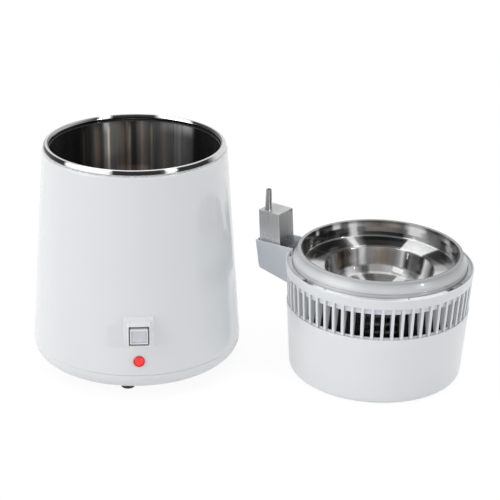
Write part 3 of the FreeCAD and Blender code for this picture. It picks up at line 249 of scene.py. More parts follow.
def startMaterial(name, colour, roughness, metallic=0.0, coat=0.0, coatRoughness=0.05):
    material = bpy.data.materials.new(name)
    material.use_nodes = True
    tree = material.node_tree
    shader = next(n for n in tree.nodes if n.type == "BSDF_PRINCIPLED")
    shader.inputs["Base Color"].default_value = (*colour, 1.0)
    shader.inputs["Roughness"].default_value = roughness
    shader.inputs["Metallic"].default_value = metallic
    shader.inputs["Coat Weight"].default_value = coat
    shader.inputs["Coat Roughness"].default_value = coatRoughness
    return material, tree, shader


def addNode(tree, kind, **values):
    # a value goes to the input of its name, or else to the node's own setting
    node = tree.nodes.new(kind)
    for key, value in values.items():
        if key in node.inputs:
            node.inputs[key].default_value = value
        else:
            setattr(node, key, value)
    return node


def objectPoint(tree, stretch=(1, 1, 1), centre=None, turn=0.0):
    # Object coordinates from a centre, turned about the upright axis and stretched
    source = addNode(tree, "ShaderNodeTexCoord").outputs["Object"]
    if centre is not None:
        moved = addNode(tree, "ShaderNodeMapping")
        moved.inputs["Location"].default_value = (-centre[0], -centre[1], -centre[2])
        tree.links.new(source, moved.inputs["Vector"])
        source = moved.outputs["Vector"]
    turned = addNode(tree, "ShaderNodeMapping")
    turned.inputs["Rotation"].default_value = (0, 0, turn)
    turned.inputs["Scale"].default_value = stretch
    tree.links.new(source, turned.inputs["Vector"])
    return turned.outputs["Vector"]


def noiseOf(tree, point, scale, detail=2.0, roughness=0.5):
    noise = addNode(tree, "ShaderNodeTexNoise", Scale=scale, Detail=detail, Roughness=roughness)
    tree.links.new(point, noise.inputs["Vector"])
    return noise.outputs["Fac"]


def rampOf(tree, factor, stops, interpolation="EASE"):
    # stops are (place, grey) or (place, colour)
    ramp = addNode(tree, "ShaderNodeValToRGB")
    ramp.color_ramp.interpolation = interpolation
    stops = sorted(stops, key=lambda stop: stop[0])
    elements = ramp.color_ramp.elements
    while len(elements) < len(stops):
        elements.new(1.0)
    for element, (position, colour) in zip(elements, stops):
        element.position = position
    for element, (position, colour) in zip(elements, stops):
        shade = colour if isinstance(colour, tuple) else (colour, colour, colour)
        element.color = (*shade, 1.0)
    tree.links.new(factor, ramp.inputs["Fac"])
    return ramp.outputs["Color"]


def mathOf(tree, operation, *values):
    # numbers are set on the node, everything else is linked to it
    node = addNode(tree, "ShaderNodeMath", operation=operation)
    for k, value in enumerate(values):
        if isinstance(value, (int, float)):
            node.inputs[k].default_value = value
        else:
            tree.links.new(value, node.inputs[k])
    return node.outputs[0]


def mixOf(tree, factor, first, second):
    mix = addNode(tree, "ShaderNodeMix", data_type="RGBA")
    tree.links.new(factor, mix.inputs["Factor"])
    tree.links.new(first, mix.inputs[6])
    tree.links.new(second, mix.inputs[7])
    return mix.outputs[2]


def blendOf(tree, kind, first, second, factor=1.0):
    blend = addNode(tree, "ShaderNodeMix", data_type="RGBA", blend_type=kind)
    if isinstance(factor, float):
        blend.inputs["Factor"].default_value = factor
    else:
        tree.links.new(factor, blend.inputs["Factor"])
    tree.links.new(first, blend.inputs[6])
    tree.links.new(second, blend.inputs[7])
    return blend.outputs[2]


def bumpInto(tree, shader, height, distance, strength=1.0):
    bump = addNode(tree, "ShaderNodeBump", Distance=distance, Strength=strength)
    tree.links.new(height, bump.inputs["Height"])
    tree.links.new(bump.outputs["Normal"], shader.inputs["Normal"])


def speckled(name, colour, roughness, spread=0.03, grain=400.0, grainHeight=0.00002, metallic=0.0, coat=0.0,
             patch=14.0, roughSpread=0.08):
    # moulded or painted surface: slow colour drift, uneven gloss and a fine grain
    material, tree, shader = startMaterial(name, colour, roughness, metallic, coat)
    point = objectPoint(tree)
    drift = noiseOf(tree, point, patch, 3.0)
    darker = tuple(part * (1 - spread) for part in colour)
    lighter = tuple(min(1.0, part * (1 + spread)) for part in colour)
    tree.links.new(rampOf(tree, drift, [(0.3, darker), (0.7, lighter)]), shader.inputs["Base Color"])
    smudge = noiseOf(tree, point, patch * 3.7, 4.0, 0.6)
    smoothest = max(0.02, roughness - roughSpread)
    gloss = rampOf(tree, smudge, [(0.25, smoothest), (0.75, roughness + roughSpread)])
    tree.links.new(gloss, shader.inputs["Roughness"])
    bumpInto(tree, shader, noiseOf(tree, point, grain, 2.0), grainHeight)
    return material


print("scene: tools ready")


# Finishes

# the few shades that reflections in bright steel are painted with, from the darkest painted reflection up to
# white
darkest, dark, dim, grey, pale, white = 0.03, 0.1, 0.24, 0.4, 0.65, 1.0
brown, bronze = (0.07, 0.045, 0.03), (0.24, 0.2, 0.17)
warmGrey, warmPale = (0.38, 0.34, 0.31), (0.52, 0.46, 0.4)


def roundParts(tree, centre):
    # turn round an upright axis (0 to 1 from -180 to 180 degrees), distance from it and height
    parts = addNode(tree, "ShaderNodeSeparateXYZ")
    tree.links.new(objectPoint(tree, centre=centre), parts.inputs["Vector"])
    x, y, z = parts.outputs
    turnPart = mathOf(tree, "ADD", mathOf(tree, "DIVIDE", mathOf(tree, "ARCTAN2", y, x), 2 * math.pi), 0.5)
    squares = mathOf(tree, "ADD", mathOf(tree, "MULTIPLY", x, x), mathOf(tree, "MULTIPLY", y, y))
    distance = mathOf(tree, "SQRT", squares)
    return turnPart, distance, z


def wavering(tree, turnPart, amount, stretch=(1, 1, 0.35), scale=22.0):
    # the bands lean and swim a little, as reflections in drawn sheet do
    shake = mathOf(tree, "SUBTRACT", noiseOf(tree, objectPoint(tree, stretch), scale, 2.0), 0.5)
    return mathOf(tree, "FRACT", mathOf(tree, "ADD", turnPart, mathOf(tree, "MULTIPLY", shake, amount)))


def turnBands(tree, turnPart, stops, interpolation="LINEAR"):
    # stops are (degrees, shade); the first and last meet at the -X side
    placed = [((degrees + 180) / 360, shade) for degrees, shade in stops]
    return rampOf(tree, turnPart, placed, interpolation)


def stepMask(tree, value, low, high):
    # 0 below low, 1 above high
    step = addNode(tree, "ShaderNodeMapRange", interpolation_type="SMOOTHSTEP")
    step.inputs["From Min"].default_value = low
    step.inputs["From Max"].default_value = high
    tree.links.new(value, step.inputs["Value"])
    return step.outputs["Result"]


def polish(material, tree, shader, shade, roughness, streak, lineScale=260.0, lineStretch=(1, 1, 0.02),
           centre=None):
    # fine drawn lines over the bands, uneven gloss and a very slight bump
    lines = noiseOf(tree, objectPoint(tree, lineStretch, centre), lineScale, 2.0, 0.6)
    lift = rampOf(tree, lines, [(0.3, 1.0 - streak), (0.7, 1.0)])
    tree.links.new(blendOf(tree, "MULTIPLY", shade, lift), shader.inputs["Base Color"])
    smudge = noiseOf(tree, objectPoint(tree), 45.0, 3.0)
    gloss = rampOf(tree, smudge, [(0.3, roughness * 0.7), (0.7, roughness * 1.4)])
    tree.links.new(gloss, shader.inputs["Roughness"])
    bumpInto(tree, shader, lines, 0.000005)
    return material


def keepPaintedHighlightsBright(tree, shader, shade, metalInDark, metalInBright):
    # where the painted reflections are bright the sheet is made less metallic, so that these painted
    # highlights stay bright inside a dark bowl
    metal = rampOf(tree, shade, [(0.15, metalInDark), (0.85, metalInBright)], "LINEAR")
    tree.links.new(metal, shader.inputs["Metallic"])


finish = {
    "whitePaint": speckled("gloss_white_paint", (0.745, 0.762, 0.778), 0.22, 0.006, 240.0, 0.000012,
                           coat=0.55, patch=9.0, roughSpread=0.04),
    "whiteBase": speckled("white_base_plastic", (0.76, 0.775, 0.79), 0.35, 0.012, 500.0, 0.00002),
    "rubber": speckled("black_foot_rubber", (0.018, 0.018, 0.02), 0.62, 0.2, 700.0, 0.00004),
    "zinc": speckled("bright_zinc", (0.62, 0.63, 0.62), 0.32, 0.08, 600.0, 0.00001, 1.0, patch=60.0),
    "aluminium": speckled("cast_aluminium_plate", (0.56, 0.56, 0.57), 0.45, 0.08, 350.0, 0.00005, 1.0,
                          patch=25.0),
    "heaterSteel": speckled("heater_sheath", (0.32, 0.30, 0.29), 0.4, 0.15, 500.0, 0.00002, 1.0, patch=40.0),
    "galvanised": speckled("spangled_zinc_sheet", (0.50, 0.52, 0.54), 0.42, 0.16, 200.0, 0.00001, 1.0,
                           patch=90.0),
    "bakelite": speckled("black_bakelite_case", (0.02, 0.018, 0.018), 0.4, 0.25, 400.0, 0.00002),
    "ceramic": speckled("terminal_ceramic", (0.78, 0.75, 0.68), 0.5, 0.05, 500.0, 0.00003),
    "brass": speckled("turned_brass", (0.72, 0.52, 0.24), 0.28, 0.1, 500.0, 0.00001, 1.0, patch=60.0),
    "switchWhite": speckled("white_switch_plastic", (0.78, 0.795, 0.81), 0.3, 0.01, 600.0, 0.00001,
                            coat=0.3),
    "buttonWhite": speckled("button_face_plastic", (0.60, 0.63, 0.68), 0.24, 0.03, 600.0, 0.00001, coat=0.4,
                            patch=60.0),
    "blackPlastic": speckled("black_socket_plastic", (0.022, 0.022, 0.024), 0.38, 0.2, 500.0, 0.00003),
    "coverWhite": speckled("white_cover_plastic", (0.76, 0.775, 0.79), 0.3, 0.006, 450.0, 0.00001, coat=0.2,
                           patch=10.0, roughSpread=0.02),
    "ventWhite": speckled("white_vent_plastic", (0.745, 0.765, 0.785), 0.3, 0.008, 500.0, 0.00001, coat=0.2,
                          roughSpread=0.03),
    "carrierWhite": speckled("white_carrier_plastic", (0.70, 0.73, 0.77), 0.36, 0.015, 500.0, 0.00002,
                             coat=0.15),
    # the coil and the fins are made near black, so that the head's inside looks dark through the slots
    "coilSteel": speckled("drawn_coil_tube", (0.11, 0.11, 0.115), 0.3, 0.1, 400.0, 0.00001, 1.0, patch=50.0),
    "finBlack": speckled("near_black_fin", (0.055, 0.056, 0.06), 0.5, 0.35, 300.0, 0.00001, 0.3,
                         patch=70.0),
    "motorSteel": speckled("motor_core_steel", (0.38, 0.39, 0.40), 0.45, 0.15, 300.0, 0.00003, 1.0,
                           patch=50.0),
    "copper": speckled("winding_copper", (0.55, 0.24, 0.11), 0.35, 0.2, 900.0, 0.00006, 0.8, patch=80.0),
    "fanBlack": speckled("black_fan_plastic", (0.025, 0.025, 0.027), 0.42, 0.2, 500.0, 0.00002),
    "charcoal": speckled("charcoal_grain", (0.03, 0.03, 0.03), 0.85, 0.4, 900.0, 0.0004),
}


def glowRed(name, colour, roughness):
    # glossy red that is a little lit from within
    material, tree, shader = startMaterial(name, colour, roughness, coat=0.6)
    shader.inputs["Emission Color"].default_value = (0.95, 0.0, 0.0, 1.0)
    shader.inputs["Emission Strength"].default_value = 0.35
    cloud = noiseOf(tree, objectPoint(tree), 300.0)
    red = rampOf(tree, cloud, [(0.3, (0.8, 0.0, 0.0)), (0.7, (0.95, 0.01, 0.01))])
    tree.links.new(red, shader.inputs["Base Color"])
    bumpInto(tree, shader, noiseOf(tree, objectPoint(tree), 900.0), 0.00002)
    return material


finish["redLens"] = glowRed("red_lamp_lens", (0.9, 0.0, 0.0), 0.12)
finish["redBezel"] = speckled("red_lamp_bezel", (0.62, 0.012, 0.02), 0.25, 0.1, 500.0, 0.00002, coat=0.4)
print("scene: finishes ready")


# Boiler

shellSize = {"thickness": 1.2, "holeHeight": 46.5, "inletTurn": 90.0, "holeHalfWide": 20.5,
             "holeHalfTall": 13.2, "socketTurn": 122.0, "socketHole": 10.4, "flangeTop": 31.5}


def shellMask(points):
    # faces are left out behind the mains inlet's flange and the fan socket's ring
    middle = (points[:-1] + np.roll(points[:-1], -1, 1) + points[1:] + np.roll(points[1:], -1, 1)) / 4
    out = middle - boilerMiddle
    above = out[..., 2] / mm
    angle = np.degrees(np.arctan2(out[..., 1], out[..., 0]))
    z = shellSize["holeHeight"]
    across = np.radians(angle - shellSize["inletTurn"]) * shellRadius(z)
    inlet = (np.abs(across) < shellSize["holeHalfWide"]) & (np.abs(above - z) < shellSize["holeHalfTall"])
    aside = np.radians(angle - shellSize["socketTurn"]) * shellRadius(z)
    socket = np.hypot(aside, above - z) < shellSize["socketHole"]
    return ~((inlet | socket) & (above > shellSize["flangeTop"]))


wallHeights = [33.3, 36.0, 39.0, 43.0, 46.5, 50.0, 54.0, 57.0, 59.7, 62.0, *np.linspace(70, 234, 22)]
shellLine = [(92.1, 30.0), (112.1, 30.0)]
shellLine += [(shellRadius(height), height) for height in wallHeights]
shellLine += [(96.72, 238.0), (96.45, 239.0), (95.7, 239.55), (94.6, 239.6), (90.6, 239.6)]
shellPiece = turnedPiece("shell_skin", shellLine, boilerMiddle, 320, False, shellMask)
wallThickness(shellPiece, shellSize["thickness"])
dress(shellPiece, "boiler", finish["whitePaint"], ["outer_shell"])

beadSize = {"ring": 91.9, "height": 242.9, "radius": 3.2, "gap": 0.66}
# painted reflections round the bead, as (degrees, shade)
rimReflections = {
    "outer": [(-180, dim), (-173, dim), (-170, darkest), (-139, darkest), (-136, white), (-107, white),
              (-104, darkest), (-76, darkest), (-73, dark), (-71, white), (-67, white), (-64, darkest),
              (-41, darkest), (-37, dim), (-31, pale), (-5, pale), (20, grey), (45, darkest), (75, darkest),
              (80, white), (108, white), (112, darkest), (150, darkest), (165, dim), (180, dim)],
    "inner": [(-180, darkest), (-120, grey), (-90, dark), (-60, grey), (0, dark), (44, darkest), (48, pale),
              (70, white), (75, darkest), (105, darkest), (108, white), (112, white), (116, darkest), (145, grey),
              (160, grey), (180, darkest)],
}
# painted light and shade round the bead's own section, from its inner side (0) over its foot, outer side and
# crown (0.75)
beadPaintedShades = [(0.0, 0.06), (0.02, 0.30), (0.06, 0.42), (0.10, 0.20), (0.12, 0.10), (0.16, 0.70),
              (0.42, 0.80), (0.66, 0.72), (0.69, 0.66), (0.77, 0.62), (0.795, 0.50), (0.82, 0.04),
              (1.0, 0.04)]
# parts of that section over which the two mirrored flanks begin and end
rimZones = {"outerStarts": (0.425, 0.445), "outerEnds": (0.67, 0.695), "innerStarts": (0.785, 0.815)}


def mirrorRim():
    # painted light on the crown and underside, with painted reflections in bands on the outer and the inner
    # flank
    material, tree, shader = startMaterial("mirror_rim_steel", (0.7, 0.7, 0.7), 0.08, 1.0)
    turnPart, distance, height = roundParts(tree, boilerMiddle)
    rise = mathOf(tree, "SUBTRACT", height, beadSize["height"] * mm)
    section = mathOf(tree, "ARCTAN2", rise, mathOf(tree, "SUBTRACT", distance, beadSize["ring"] * mm))
    section = mathOf(tree, "ADD", mathOf(tree, "DIVIDE", section, 2 * math.pi), 0.5)
    swim = wavering(tree, turnPart, 0.004)
    outer = turnBands(tree, swim, rimReflections["outer"])
    inner = turnBands(tree, swim, rimReflections["inner"])
    around = rampOf(tree, section, beadPaintedShades, "LINEAR")
    pastOuter = stepMask(tree, section, *rimZones["outerEnds"])
    onOuter = mathOf(tree, "SUBTRACT", stepMask(tree, section, *rimZones["outerStarts"]), pastOuter)
    shade = mixOf(tree, onOuter, around, outer)
    shade = mixOf(tree, stepMask(tree, section, *rimZones["innerStarts"]), shade, inner)
    return polish(material, tree, shader, shade, 0.08, 0.06)


finish["rimSteel"] = mirrorRim()
beadRound = np.linspace(beadSize["gap"] - 0.5 * math.pi, 1.5 * math.pi - beadSize["gap"], 28)
beadLine = np.stack([beadSize["ring"] + beadSize["radius"] * np.cos(beadRound),
                     beadSize["height"] + beadSize["radius"] * np.sin(beadRound)], -1)
beadPiece = turnedPiece("rolled_rim", beadLine, boilerMiddle, 256)
dress(beadPiece, "boiler", finish["rimSteel"], ["rim_bead"])

# painted reflections and painted light round the pot's wall, as (degrees, shade), and painted shade by
# height and distance, as (metres, shade)
potPaintedShades = {
    "broad": [(-180, darkest), (-150, dim), (-120, grey), (-95, dim), (-80, pale), (-50, dim), (-20, grey),
              (0, darkest), (42, darkest), (47, dim), (53, dim), (57, grey), (62, dim), (68, warmGrey),
              (71, dim), (80, dim), (85, warmPale), (89, dark), (92, dark), (94, warmGrey), (96, dark),
              (99, warmGrey), (106, grey), (110, pale), (113, dark), (119, dim), (123, dark), (134, darkest),
              (180, darkest)],
    "gold": [(-180, 0.0), (77.2, 0.0), (77.75, (1.0, 0.72, 0.42)), (78.3, 0.0), (92.6, 0.0),
             (93.25, (1.0, 0.9, 0.68)), (93.9, 0.0), (97.5, (0.16, 0.09, 0.03)), (100.5, 0.0), (107.8, 0.0),
             (108.3, (1.0, 0.8, 0.58)), (108.8, 0.0), (118.0, (0.2, 0.12, 0.06)), (121, 0.0), (127.0, 0.0),
             (127.6, (0.3, 0.2, 0.1)), (128.2, 0.0), (180, 0.0)],
    "glow": [(-180, 0.0), (42, 0.0), (48, 0.55), (56, 0.3), (68, 0.12), (74, 0.0), (106.5, 0.0),
             (109.5, 0.6), (113, 0.0), (180, 0.0)],
    "warm": [(-180, 0.0), (77, 0.0), (82, (0.22, 0.17, 0.13)), (98, (0.2, 0.15, 0.11)), (104, 0.0),
             (180, 0.0)],
    "height": [(0.0, 1.0), (0.2360, 1.0), (0.2385, 0.8), (0.2392, 0.9), (0.25, 0.9)],
    "flange": [(0.0, 0.04), (0.0903, 0.04), (0.0908, 0.85), (0.2, 0.85)],
}
# heights in metres between which one part of the finish gives way to the next
potZones = {"goldStarts": (0.15, 0.20), "goldEnds": (0.228, 0.240), "rimGlow": (0.224, 0.2395),
            "warmLight": (0.1855, 0.1905), "flange": (0.2389, 0.2394)}


def drawnPot():
    # painted reflections as broad bands and thin gold streaks on the wall's upper half, painted light from
    # the rim, painted warm light from below
    material, tree, shader = startMaterial("drawn_pot_steel", (0.5, 0.5, 0.5), 0.2, 0.55)
    turnPart, distance, height = roundParts(tree, boilerMiddle)
    swim = wavering(tree, turnPart, 0.012, (1, 1, 0.5), 16.0)
    broad = turnBands(tree, swim, potPaintedShades["broad"])
    fine = turnBands(tree, wavering(tree, turnPart, 0.0012), potPaintedShades["gold"])
    belowEdge = mathOf(tree, "SUBTRACT", 1.0, stepMask(tree, height, *potZones["goldEnds"]))
    fade = mathOf(tree, "MULTIPLY", stepMask(tree, height, *potZones["goldStarts"]), belowEdge)
    shade = blendOf(tree, "ADD", broad, fine, fade)
    shade = blendOf(tree, "MULTIPLY", shade, rampOf(tree, height, potPaintedShades["height"], "LINEAR"))
    # painted glow just under the rim
    rimGlow = stepMask(tree, height, *potZones["rimGlow"])
    shade = blendOf(tree, "ADD", shade, turnBands(tree, swim, potPaintedShades["glow"]), rimGlow)
    # painted warm light on the lower wall
    warmLightShare = mathOf(tree, "SUBTRACT", 1.0, stepMask(tree, height, *potZones["warmLight"]))
    shade = blendOf(tree, "ADD", shade, turnBands(tree, swim, potPaintedShades["warm"]), warmLightShare)
    flange = rampOf(tree, distance, potPaintedShades["flange"], "LINEAR")
    shade = mixOf(tree, stepMask(tree, height, *potZones["flange"]), shade, flange)
    keepPaintedHighlightsBright(tree, shader, shade, 0.6, 0.15)
    return polish(material, tree, shader, shade, 0.2, 0.3, 300.0)


finish["potSteel"] = drawnPot()
potOuter = eased([(0, 60.0), (87.4, 60.0), (89.4, 239.5), (94.1, 239.5)], (9.5, 0.6), 7)
potInner = eased([(94.1, 240.35), (88.6, 240.35), (86.6, 60.8), (0, 60.8)], (0.9, 9.0), 7)
potLine = finer(np.vstack([potOuter, potInner]), 6.0)
potPiece = turnedPiece("deep_drawn_pot", potLine, boilerMiddle, 224)
dress(potPiece, "boiler", finish["potSteel"], ["boiling_pot"])

feetSize = {"circle": 78.0, "turn": -98.4, "count": 4}
feetTurns = np.radians(feetSize["turn"] + 90.0 * np.arange(feetSize["count"]))
footLine = eased([(5.0, 0.0), (7.2, 0.0), (8.0, 11.65), (2.2, 11.65), (2.2, 4.0), (5.0, 4.0)], 0.7, 4, True)


def turnedCopies(name, profile, centres, segments=40, sharpAngle=35.0):
    # the same closed profile carried round several upright axes
    angles = np.arange(segments) * 2 * math.pi / segments
    points = np.stack([turnedPoints(np.asarray(profile, float), centre, angles) for centre in centres])
    faces = gridFaces(len(profile), segments, True, True)
    faces = copiedFaces(faces, len(centres), len(profile) * segments)
    return meshPiece(name, points, faces, True, sharpAngle)


feetOut = np.stack([np.cos(feetTurns), np.sin(feetTurns), 0 * feetTurns], -1)
feetCentres = boilerMiddle + feetSize["circle"] * mm * feetOut
feetPiece = turnedCopies("moulded_feet", footLine, feetCentres)
dress(feetPiece, "boiler", finish["rubber"], ["rubber_feet"])
print("scene: boiler skin, rim, pot and feet made")


# Switch and lamp

switchSize = {"height": 78.6, "plateX": 15.5, "plateY": 16.0, "plate": 1.8, "behind": -1.6, "collar": 11.7,
              "front": 14.3, "wall": 1.5}
onSwitch = wallPlace(switchSize["height"])


def squareStep(half, corner, height):
    # one row of stackedSections that is as wide as it is tall
    return (half, half, corner, height)


plateX, plateY, plateFront = (switchSize[key] for key in ("plateX", "plateY", "plate"))
collar, front, behind = (switchSize[key] for key in ("collar", "front", "behind"))
collarInside = collar - switchSize["wall"]
framePiece = stackedSections("switch_bezel", [
    (plateX, plateY, 1.0, behind), (plateX, plateY, 1.0, plateFront - 0.6),
    (plateX - 0.2, plateY - 0.2, 0.9, plateFront - 0.2), (plateX - 0.6, plateY - 0.6, 0.7, plateFront),
    squareStep(collar + 0.5, 1.0, plateFront), squareStep(collar + 0.1, 0.9, plateFront + 0.2),
    squareStep(collar, 0.9, plateFront + 0.7), squareStep(collar, 0.9, front - 0.6),
    squareStep(collar - 0.2, 0.8, front - 0.2), squareStep(collar - 0.6, 0.6, front),
    squareStep(collarInside + 0.3, 0.5, front), squareStep(collarInside, 0.4, front - 0.3),
    squareStep(collarInside, 0.4, 1.0), squareStep(collarInside, 0.4, behind)], onSwitch, True, 6)
dress(framePiece, "boiler", finish["switchWhite"], ["switch_frame"])

buttonSize = {"halfX": 9.1, "halfY": 7.8, "face": 16.1, "back": 8.8, "border": 1.4, "recess": 2.1,
              "windowBack": 14.05, "windowFront": 15.2}
halfX, halfY, face, back = (buttonSize[key] for key in ("halfX", "halfY", "face", "back"))
windowX, windowY = halfX - buttonSize["border"], halfY - buttonSize["border"]
bed = face - buttonSize["recess"]
buttonPiece = stackedSections("rocker_cap", [
    (0, 0, 0, back), (halfX, halfY, 0.7, back), (halfX, halfY, 0.7, face - 0.6),
    (halfX - 0.15, halfY - 0.15, 0.6, face - 0.2), (halfX - 0.5, halfY - 0.5, 0.5, face),
    (windowX + 0.2, windowY + 0.2, 0.5, face), (windowX, windowY, 0.4, face - 0.2),
    (windowX, windowY, 0.4, bed), (0, 0, 0, bed)], onSwitch, False, 6)
dress(buttonPiece, "button", finish["switchWhite"], ["switch_button"])
windowBack, windowFront = buttonSize["windowBack"], buttonSize["windowFront"]
windowPiece = stackedSections("button_face_plate", [
    (0, 0, 0, windowBack), (windowX - 0.15, windowY - 0.15, 0.4, windowBack),
    (windowX - 0.15, windowY - 0.15, 0.4, windowFront - 0.25),
    (windowX - 0.4, windowY - 0.4, 0.3, windowFront - 0.05),
    (windowX - 2.2, windowY - 1.8, 0.3, windowFront), (0, 0, 0, windowFront - 0.2)], onSwitch, False, 6)
dress(windowPiece, "button", finish["buttonWhite"], ["button_window"])

lampSize = {"height": 45.8, "domeRadius": 4.8, "domeFoot": 0.9, "domeRise": 1.5, "back": -0.6}
onLamp = wallPlace(lampSize["height"])


def wallTurned(name, profile, place, closed, segments=48, sharpAngle=30.0):
    # a profile of (radius, height out) carried round an axis that stands square out of the wall
    line = np.asarray(profile, float) * mm
    angles = np.arange(segments) * 2 * math.pi / segments
    r, out = line[:, 0:1], line[:, 1:2]
    local = np.stack([r * np.cos(angles), r * np.sin(angles), out + 0 * angles], -1)
    return meshPiece(name, place(local), gridFaces(len(line), segments, closed, True), True, sharpAngle)


lampRing = eased([(4.0, -1.0), (5.9, -1.0), (5.9, 1.5), (5.2, 2.0), (4.85, 1.6), (4.85, 0.6), (4.0, 0.6)],
                 0.35, 4, True)
bezelPiece = wallTurned("lamp_ring", lampRing, onLamp, True)
dress(bezelPiece, "boiler", finish["redBezel"], ["lamp_bezel"])
domeTurn = np.linspace(0, 1, 12) * math.pi / 2
domeLine = np.stack([lampSize["domeRadius"] * np.sin(domeTurn),
                     lampSize["domeFoot"] + lampSize["domeRise"] * np.cos(domeTurn)], -1)
lensLine = np.vstack([domeLine, [(lampSize["domeRadius"], lampSize["back"]), (0, lampSize["back"])]])
lensPiece = wallTurned("lamp_dome", lensLine, onLamp, False)
dress(lensPiece, "boiler", finish["redLens"], ["lamp_lens"])
print("scene: switch and lamp made")


# Head

coverSize = {"bars": 24, "slotHalf": 2.0, "wall": 2.2, "wallFoot": 92.5, "wallFlare": 5.1, "wallTop": 76.6,
             "portTurn": 280.0, "portHeight": 40.0, "portRadius": 10.0, "portReach": 95.0}
slotRadii = [24.0, 27.0, 30.0, 33.0, 36.0, 40.0, 44.0, 48.0, 52.0, 57.0, 62.0]
slotRings = [(24.0, 40.0), (44.0, 62.0)]
# the rounded edge between the intake face and the wall, as (radius, height)
edgeLine = np.array([(83.4, 0.0), (85.8, 0.12), (88.4, 0.65), (90.2, 1.6), (91.6, 2.9), (92.5, 4.6),
                     (92.98, 6.6), (93.04, 8.2)])


def grillePoints():
    # polar grid: columns follow the edges of each bar and slot, so a slot keeps its width at every radius
    sideHeights = np.linspace(12.0, coverSize["wallTop"], 9)
    sideRadii = coverSize["wallFoot"] + coverSize["wallFlare"] * sideHeights / coverSize["wallTop"]
    faceRadii = [6.0, 14.0, 20.0] + slotRadii + [66.0, 74.0, 80.0]
    radii = np.concatenate([faceRadii, edgeLine[:, 0], sideRadii])
    heights = np.concatenate([np.zeros(len(faceRadii)), edgeLine[:, 1], sideHeights])
    edge = np.degrees(np.arcsin(np.minimum(0.999, coverSize["slotHalf"] / np.maximum(radii, slotRadii[0]))))
    pitch = 360.0 / coverSize["bars"]
    slotColumns = edge[:, None] * np.linspace(-1, 1, 3)[None, :]
    barColumns = edge[:, None] + (pitch - 2 * edge[:, None]) * np.linspace(0, 1, 7)[None, 1:-1]
    oneBar = np.concatenate([slotColumns, barColumns], 1)
    barTurns = pitch * np.arange(coverSize["bars"])[None, :, None] + math.degrees(armTurn)
    angles = np.radians(oneBar[:, None, :] + barTurns)
    return radii, heights, angles.reshape(len(radii), -1), oneBar.shape[1]


radii, heights, angles, barColumns = grillePoints()
coverPoints = turnedPoints(np.column_stack([radii, heights]), headMiddle, angles)
inSlot = (np.arange(angles.shape[1])[None, :] % barColumns) < 2
rowRadius = radii[:-1][:, None]
slotRow = np.any([(rowRadius >= low) & (rowRadius < high) for low, high in slotRings], 0)
slotRow = slotRow & (heights[1:][:, None] == 0)
# the fan inlet's round opening in the wall
middleAngle = (angles[:-1] + np.roll(angles[:-1], -1, 1)) / 2
fromPort = middleAngle - (np.radians(coverSize["portTurn"]) + armTurn)
aside = (np.mod(fromPort + math.pi, 2 * math.pi) - math.pi) * coverSize["portReach"]
above = (heights[:-1] + heights[1:])[:, None] / 2 - coverSize["portHeight"]
portHole = (np.hypot(aside, above) < coverSize["portRadius"]) & (heights[:-1][:, None] > 8)
coverFaces = gridFaces(len(radii), angles.shape[1], False, True, ~((inSlot & slotRow) | portHole))
middleFace = list(range(angles.shape[1]))[::-1]
coverPiece = meshPiece("cover_tub", coverPoints, coverFaces, False, 35.0, [middleFace])
wallThickness(coverPiece, coverSize["wall"], 0.3)
dress(coverPiece, "head", finish["coverWhite"], ["head_cover"])

# painted light and shadow on the flat ring round the seal, with a painted dark patch at the notch, as
# (degrees, shade)
ringLightAndShadow = [(-180, 0.6), (-172, 0.5), (-164, 0.45), (-155.2, 0.55), (-154.2, 0.2), (-145.6, 0.2),
              (-144.6, 0.7), (-140, 0.9), (-128, 0.95), (-120, 0.85), (-112, 0.7), (-104, 0.65),
              (-98, 0.6), (-92, 0.65), (-87, 0.8), (-83, 0.95), (-76, 0.95), (-60, 0.95), (-55, 0.8),
              (-53, 0.35), (-42, 0.25), (-36, 0.3), (-28, 0.35), (-20, 0.5), (-10, 0.45), (0, 0.4),
              (60, 0.6), (180, 0.6)]


def ringShade(name, colour, inner):
    # moulded white with painted soft light and painted shadow in stretches on the flat top inside a radius
    material, tree, shader = startMaterial(name, colour, 0.34, coat=0.15)
    turnPart, distance, height = roundParts(tree, headMiddle)
    within = mathOf(tree, "SUBTRACT", 1.0, stepMask(tree, distance, inner, inner + 0.0003))
    top = mathOf(tree, "MULTIPLY", stepMask(tree, height, 0.1160, 0.1164), within)
    stops = [(degrees, (0.965 * shade, 0.985 * shade, shade)) for degrees, shade in ringLightAndShadow]
    bands = turnBands(tree, turnPart, stops, "EASE")
    drift = noiseOf(tree, objectPoint(tree), 14.0, 3.0)
    plain = rampOf(tree, drift, [(0.3, tuple(0.99 * part for part in colour)), (0.7, colour)])
    tree.links.new(mixOf(tree, top, plain, bands), shader.inputs["Base Color"])
    smudge = noiseOf(tree, objectPoint(tree), 52.0, 4.0)
    tree.links.new(rampOf(tree, smudge, [(0.25, 0.3), (0.75, 0.38)]), shader.inputs["Roughness"])
    bumpInto(tree, shader, noiseOf(tree, objectPoint(tree), 500.0), 0.00001)
    return material


ringTopEdge = 0.0985      # metres from the axis
finish["ringTop"] = ringShade("white_ring_plastic", (0.70, 0.73, 0.77), ringTopEdge)
finish["bandTop"] = ringShade("white_band_plastic", (0.745, 0.765, 0.785), ringTopEdge)

bandCorners = [(96.6, 111.3), (99.0, 111.3), (99.8, 121.8), (97.4, 121.8)]
bandLine = eased(bandCorners, (0.5, 0.8, 0.8, 0.15), 5, True)
armDegrees = math.degrees(armTurn)
bandGap = math.degrees(math.asin(18.65 / 99.0))     # half the gap that the arm needs
bandSpan = (armDegrees + bandGap + 3.5, armDegrees + 360 - bandGap)
bandPiece = arcPieces("vent_band", bandLine, headMiddle, [bandSpan])
dress(bandPiece, "head", finish["bandTop"], ["vent_ring"])
hoopLine = eased([(92.3, 70.5), (94.7, 70.5), (94.7, 78.0), (92.3, 78.0)], 0.4, 4, True)
hoopPiece = turnedPiece("vent_hoop", hoopLine, headMiddle, 192)
dress(hoopPiece, "head", finish["ventWhite"], ["vent_ring"])


